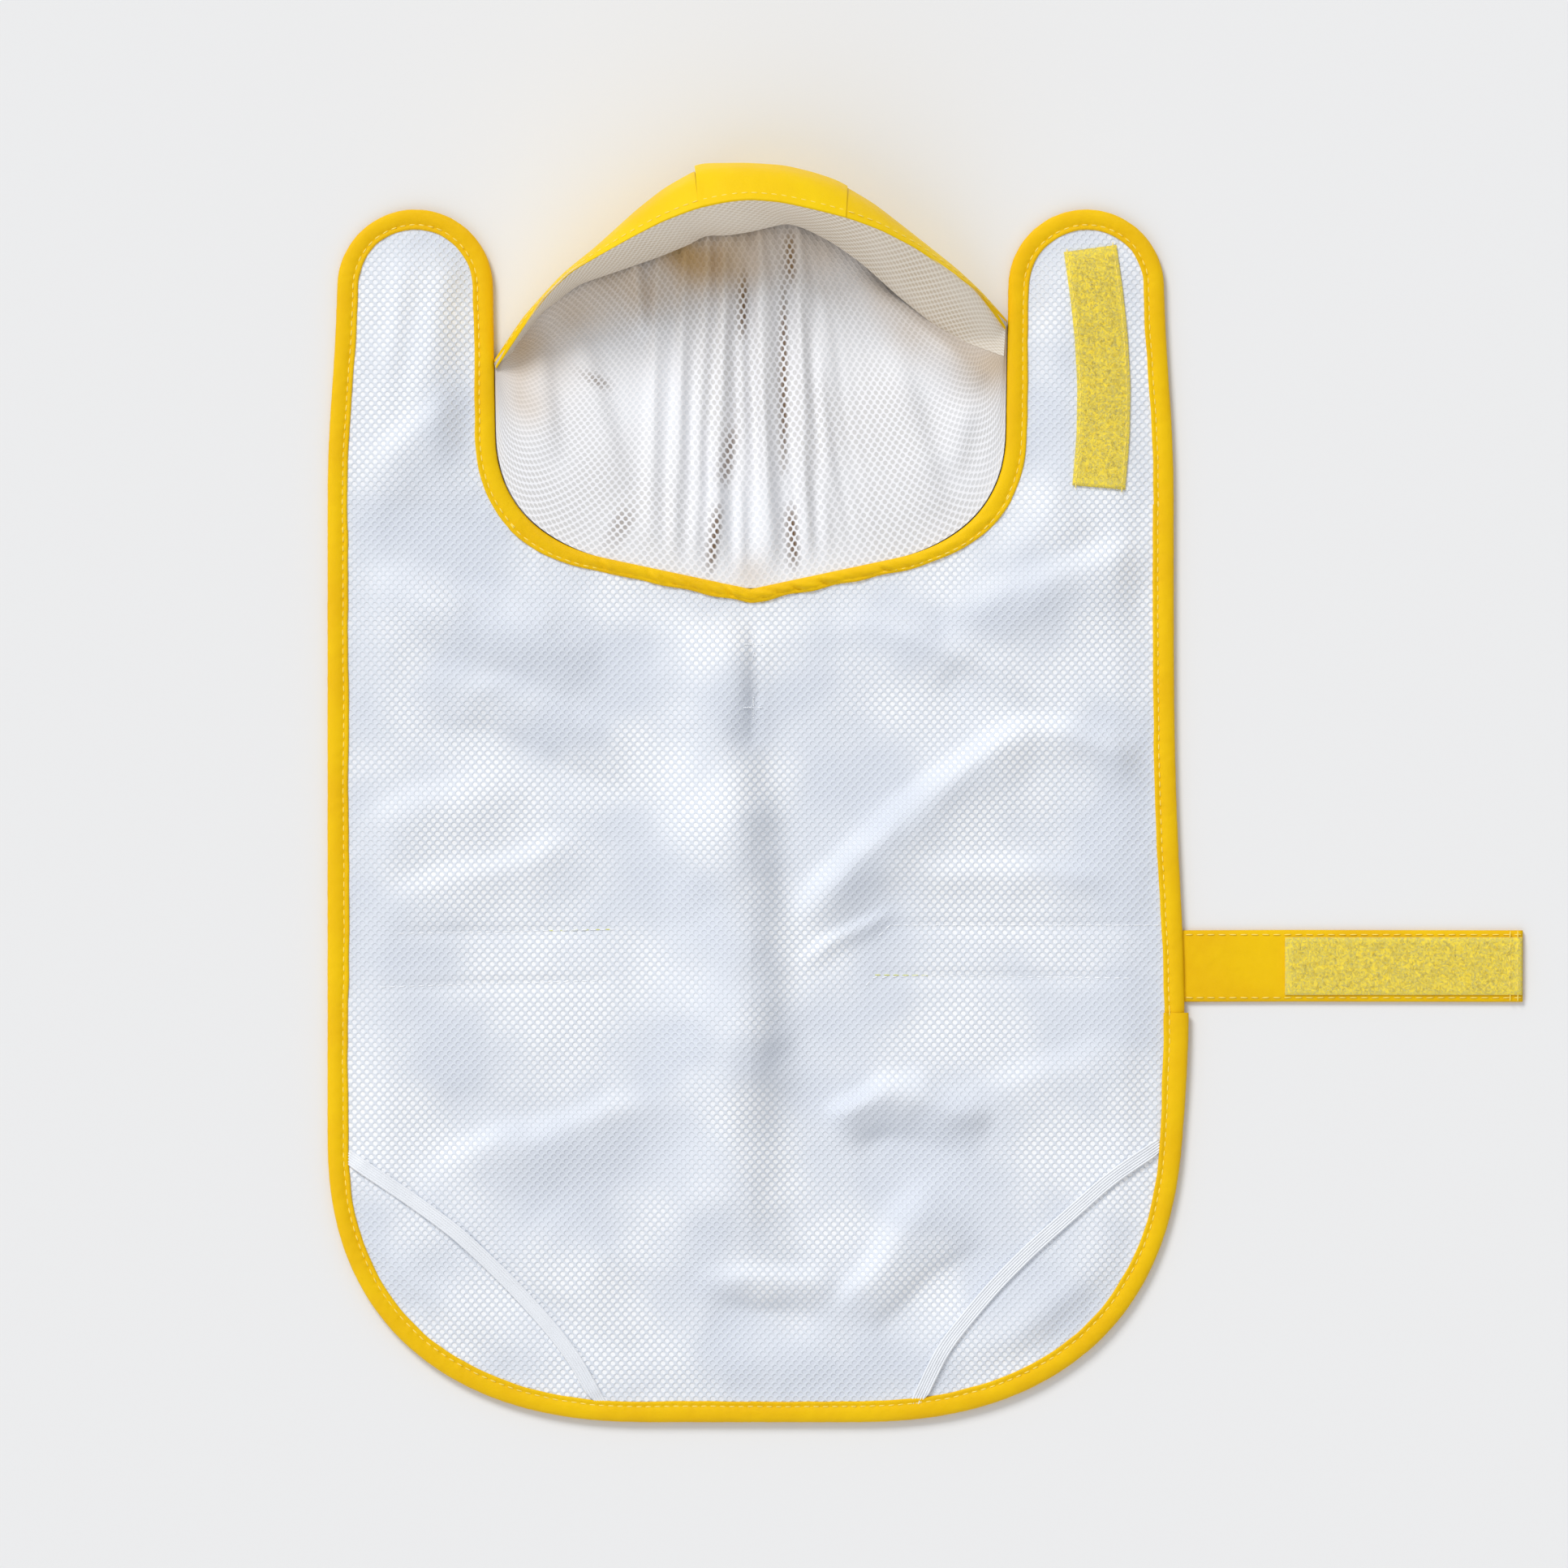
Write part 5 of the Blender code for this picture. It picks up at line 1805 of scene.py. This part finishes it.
@dataclass
class Hood:
    """The hood: three outer panels, a gathered mesh lining and a facing inside the rim."""

    pattern: Pattern
    folds: Folds
    room: Workroom
    height: float = 0.0545
    columns: int = 230
    levels: int = 104
    left_end: float = 0.4915
    right_end: float = 0.5105
    shell_cloth: float = 0.7 * MM
    lining_cloth: float = 0.45 * MM
    facing_cloth: float = 0.4 * MM

    def neck(self) -> np.ndarray:
        """The line where the hood meets the neck's binding.

        Returns:
            Rows of x and y, from left to right.
        """
        parts = []
        for side, end in ((Side.LEFT, self.left_end), (Side.RIGHT, self.right_end)):
            line = self.pattern.half(side)
            way = inward(line, side)
            way[0] = (0, -1)
            last = int(np.argmax(line[:, 1] > end))
            tuck = (0.40 - 0.75 * smooth(0.396, 0.410, line[:, 1])) * MM
            parts.append((line + way * tuck[:, None])[:last])
        return np.vstack([parts[0][::-1], parts[1][1:]])

    def along(self, line: tuple[Point, ...] | np.ndarray) -> np.ndarray:
        """A line as one even row of places for each column of the hood.

        Args:
            line: its points.

        Returns:
            The rows.
        """
        rows = np.array(line)
        return eased(placed_at(rows, np.linspace(0, run_along(rows)[-1], self.columns)), 12)

    def rise(self) -> np.ndarray:
        """The rim's height at each column, in metres."""
        share = np.abs(np.linspace(-1, 1, self.columns))
        return 0.0050 + (self.height - 0.0050) * (1 - share ** 2.6)

    def climb(self) -> np.ndarray:
        """How far up each level is, from 0 at the neck to 1 at the rim, closer set near the rim."""
        return 1 - (1 - np.linspace(0, 1, self.levels)) ** 1.4

    def surface(self, inner: bool) -> np.ndarray:
        """The hood as columns by levels of x, y and z.

        Args:
            inner: the lining, rather than the shell outside it.

        Returns:
            The grid, from the neck up to the rim.
        """
        neck, rim, bulge = self.neck(), self.along(RIM), self.along(SILHOUETTE)
        neck = self.along(neck)
        rise = self.rise()
        away = bulge - rim
        reach = np.linalg.norm(away, axis=1)[:, None]
        away = away / reach
        tall = (rise / self.height)[:, None]
        inset = 1.6 * MM if inner else 0.0
        base = 2.6 * MM if inner else 0.9 * MM
        foot = bulge - away * (6.5 * MM * tall + inset)
        wide = bulge - away * inset
        crest = rim + away * reach * 0.52 - away * inset
        edge = rim - away * (0.9 * MM if inner else 0.0)
        ones = np.ones(self.columns)
        stops = [(neck, ones * base), (neck * 0.93 + foot * 0.07, ones * base),
                 (neck * 0.5 + foot * 0.5, ones * base), (foot, ones * base),
                 (foot * 0.35 + wide * 0.65, base + 0.14 * rise), (wide, base + 0.42 * (rise - base)),
                 (crest * 0.6 + wide * 0.4, base + 0.80 * (rise - base)), (edge, rise - inset * 0.8)]
        if not inner:
            stops += [(edge - away * 0.9 * MM, rise - 0.3 * MM), (edge - away * 0.9 * MM, rise - 2.6 * MM)]
        grid = np.empty((self.columns, self.levels, 3))
        for n in range(self.columns):
            line = np.array([(*place[n], level[n]) for place, level in stops])
            grid[n] = placed_at(line, run_along(line)[-1] * self.climb())
        hold = self.levels if inner else self.levels - 4
        for _ in range(14):
            grid[:, 1:hold - 1] = (grid[:, :hold - 2] + grid[:, 1:hold - 1] * 2 + grid[:, 2:hold]) / 4
        return grid

    def settle(self, grid: np.ndarray) -> np.ndarray:
        """Lay the lining's gathers and folds into its grid.

        Args:
            grid: the lining before it is gathered.

        Returns:
            The gathered grid.
        """
        x, y = grid[..., 0], grid[..., 1]
        level = self.climb()[None, :] * np.ones((self.columns, 1))
        rise = 0.0008 + 0.0007 * waver(x, y, 0.028, 4.4)
        for fold in HOOD_FOLDS:
            rise = rise + fold.rise(x, y)
        share = np.linspace(-1, 1, self.columns)[:, None]
        rise = rise + 0.0007 * np.sin(share * 150 + 3 * waver(x, y, 0.05, 2.2)) * np.exp(-(share / 0.22) ** 2)
        rise = 0.5 * (rise + np.sqrt(rise ** 2 + 0.0008 ** 2))
        ends = smooth(0.0, 0.07, 1 - np.abs(share))
        hold = smooth(0.0, 0.10, level) * (1 - smooth(0.70, 0.86, level)) * ends
        out = grid.copy()
        out[..., 2] += rise * hold
        return out

    @staticmethod
    def below_rim(column: np.ndarray, reach: float) -> np.ndarray:
        """A place on the outside of the hood, a set distance below the rim.

        Args:
            column: the hood's places from the neck to the rim.
            reach: how far below, in metres.

        Returns:
            The place.
        """
        top = int(np.argmax(column[:, 2]))
        back = column[top::-1]
        return placed_at(back, np.array([reach]))[0]

    def sheet(self, name: str, grid: np.ndarray, finish: Finish, slot: Slot, thickness: float, outside: bool,
              *replaced: str) -> bpy.types.Object:
        """One panel of the hood from its grid.

        Args:
            name: the piece's name.
            grid: columns by levels of x, y and z.
            finish: its finish.
            slot: the record's slot.
            thickness: of the cloth.
            outside: whether its seen face is under and outside, rather than up and inside.
            replaced: the frame nodes it stands for.

        Returns:
            The panel.
        """
        item = swept(name, grid, close_ends=False, round_section=False)
        if outside:
            item.data.flip_normals()
        thicken(item, thickness)
        paint(item, self.room.materials[finish], slot, *replaced)
        return item

    def panels(self, outer: np.ndarray) -> None:
        """The outer cloth: a crown that stands a little over the panel on each side.

        Args:
            outer: the hood's outer grid.
        """
        share = np.linspace(0, 1, self.levels)
        rim_x = outer[:, self.levels - 9, 0]
        left, right = (int(np.argmax(rim_x > x)) for x in CROWN_SEAMS)
        grids = {"left": outer[:left + 1].copy(), "crown": outer[left:right + 1].copy(),
                 "right": outer[right:].copy()}
        crown = grids["crown"]
        seam = np.exp(-(np.minimum(np.arange(len(crown)), np.arange(len(crown))[::-1]) / 2.2) ** 2)
        high = smooth(0.45, 0.62, share)
        crown[..., 2] += 0.35 * MM * high + 0.5 * MM * seam[:, None] * high
        step = np.linspace(*CROWN_STEP, len(crown))[:, None]
        crown[..., 1] += step * high * (1 - smooth(0.80, 0.92, share))
        for name, grid in grids.items():
            rows = (f"hood_{name}_shell",) + (("hood_base_shell",) if name == "crown" else ())
            x, y = grid[..., 0], grid[..., 1]
            grid[..., 2] += 0.35 * MM * waver(x * 1.2, y, 0.018, 7.7) * high
            item = self.sheet(f"hood_{name}", grid, Finish.SHELL, Slot.SHELL, self.shell_cloth, True, *rows)
            self.folds.bend_hood(item)

    def lining(self) -> None:
        """The gathered lining, with its painted shade kept at each place: dark brown dots in the slits, and a
        tan shade under the facing and in the corners.
        """
        inner = self.settle(self.surface(inner=True))
        lining = self.sheet("hood_lining", inner, Finish.HOOD_LINING, Slot.LINING, self.lining_cloth, False,
                            "hood_base_lining", "hood_left_lining", "hood_crown_lining", "hood_right_lining")
        x, y = inner[..., 0].ravel(), inner[..., 1].ravel()
        # Painted shade in the slits: how far the dots turn brown, low in the hood only.
        slit_shade = np.clip(sum(spot.rise(x, y) for spot in SHADED_SLITS), 0, 1)
        slit_shade *= (inner[..., 2] < SLIT_SHADE_BELOW).ravel()
        # Painted shade: strongest just under the facing's lower edge, most to the left of centre, and at the
        # listed spots.
        low = self.along(FACING_EDGE)
        under = np.interp(x, low[:, 0], low[:, 1]) - y
        rim_shade_amount = (1 - smooth(0.0, 0.036, under)) * (0.75 + 0.5 * waver(x, y, 0.02, 6.1))
        rim_shade_amount *= 0.50 + 0.45 * np.exp(-((x + 0.030) / 0.045) ** 2)
        for at_x, at_y, reach in PAINTED_SHADE_SPOTS:
            rim_shade_amount = rim_shade_amount + 0.30 * np.exp(-((x - at_x) / reach) ** 2 - ((y - at_y) / reach) ** 2)
        # Both amounts are painted shade, kept on the points for the lining's material.
        for name, amounts in (("open", slit_shade), ("painted_rim_shade", np.clip(rim_shade_amount, 0, 1))):
            values = lining.data.attributes.new(name, "FLOAT", "POINT")
            values.data.foreach_set("value", amounts.astype(np.float32))
        self.folds.bend_hood(lining)

    def facing(self) -> None:
        """The strip of mesh that hangs inside the rim."""
        rim, low, rise = self.along(RIM), self.along(FACING_EDGE), self.rise()
        grid = np.empty((self.columns, FACING_ROWS, 3))
        for k, t in enumerate(np.linspace(0, 1, FACING_ROWS)):
            grid[:, k, :2] = rim * (1 - t) + low * t
            drop = rise * 0.80 * t ** 1.1
            grid[:, k, 2] = rise - 1.6 * MM - drop + 1.2 * MM * t * waver(rim[:, 0], rim[:, 1], 0.013, 9.3)
        grid[:, :, 2] = np.maximum(grid[:, :, 2], 4.0 * MM)
        strip = self.sheet("hood_facing", grid[:, ::-1], Finish.FACING, Slot.LINING, self.facing_cloth,
                           False, "hood_facing")
        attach(strip, "hood")

    def build(self) -> None:
        """Make the panels, the lining, the facing and the row of sewing outside the rim."""
        outer = self.surface(inner=False)
        self.panels(outer)
        self.lining()
        self.facing()
        row = np.array([self.below_rim(column, 4 * MM) for column in outer[8:-8]])
        row[:, 2] += 0.30 * MM
        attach(self.room.sew("hood_rim_stitches", row, slot=Slot.SHELL, Pitch=4.6 * MM), "hood")


# ------------------------------------------------------------------ the studio


@dataclass(frozen=True)
class Studio:
    """A pale floor, soft light from beyond the hood, and a camera straight above."""

    centre: Point = (0.0156, 0.2939)
    width: float = 0.734
    distance: float = 5.0
    sensor: float = 36.0
    floor_reach: float = 6.0
    sky: float = 0.515
    key: float = 1.85
    fill: float = 0.55

    def build(self, low: float) -> None:
        """Set it round the coat.

        Args:
            low: the coat's lowest height.
        """
        half, z = self.floor_reach, low - 0.4 * MM
        corners = np.array([(-half, -half, z), (half, -half, z), (half, half, z), (-half, half, z)])
        floor = as_object("floor", corners, [(0, 1, 2, 3)])
        material, _, skin = bare_material("floor_pale")
        skin.inputs["Base Color"].default_value = (0.86, 0.86, 0.86, 1)
        skin.inputs["Roughness"].default_value = 0.9
        skin.inputs["Specular IOR Level"].default_value = 0.1
        floor.data.materials.append(material)
        floor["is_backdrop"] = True
        world = bpy.data.worlds.new("pale_room")
        world.use_nodes = True
        sky = next(n for n in world.node_tree.nodes if n.type == "BACKGROUND")
        sky.inputs["Color"].default_value = (0.97, 0.98, 1.0, 1)
        sky.inputs["Strength"].default_value = self.sky
        bpy.context.scene.world = world
        self.lamp("window", (-1.05, 2.2, 1.75), 22.0, self.key)
        self.lamp("fill", (-0.8, -1.6, 1.6), 60.0, self.fill)
        lens = bpy.data.cameras.new("above")
        lens.sensor_width, lens.lens = self.sensor, self.sensor * self.distance / self.width
        lens.clip_end = 50
        camera = bpy.data.objects.new("above", lens)
        camera.location = (*self.centre, self.distance)
        bpy.context.collection.objects.link(camera)
        bpy.context.scene.camera = camera
        bpy.context.scene.view_settings.view_transform = "Standard"

    def lamp(self, name: str, place: tuple[float, float, float], spread: float, power: float) -> None:
        """A soft distant lamp aimed at the coat.

        Args:
            name: the lamp's name.
            place: the direction it shines from.
            spread: how wide its source looks, in degrees.
            power: in watts a square metre.
        """
        light = bpy.data.lights.new(name, "SUN")
        light.angle, light.energy = math.radians(spread), power
        lamp = bpy.data.objects.new(name, light)
        lamp.location = place
        aim = Vector((*self.centre, 0)) - Vector(place)
        lamp.rotation_euler = aim.to_track_quat("-Z", "Y").to_euler()
        bpy.context.collection.objects.link(lamp)


def main() -> None:
    """Build every piece around the frame."""
    logging.basicConfig(level=logging.INFO, format="%(name)s %(message)s")
    pattern = Pattern(hem_y=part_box("hem_binding")[0].y, tip_y=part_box("left_tab_binding")[1].y)
    levels = Levels(shell=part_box("back_shell")[0].z, lining=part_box("back_lining")[1].z)
    folds, room = Folds(), Workroom()
    drape = Drape(pattern.outline(), levels, COAT_FOLDS)
    Coat(pattern, folds, drape, room).build()
    Edging(pattern, folds, room).build()
    Fastenings(folds, drape, room).build()
    Hood(pattern, folds, room).build()
    Studio().build(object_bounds()[0][2])


if __name__ == "__main__":
    main()
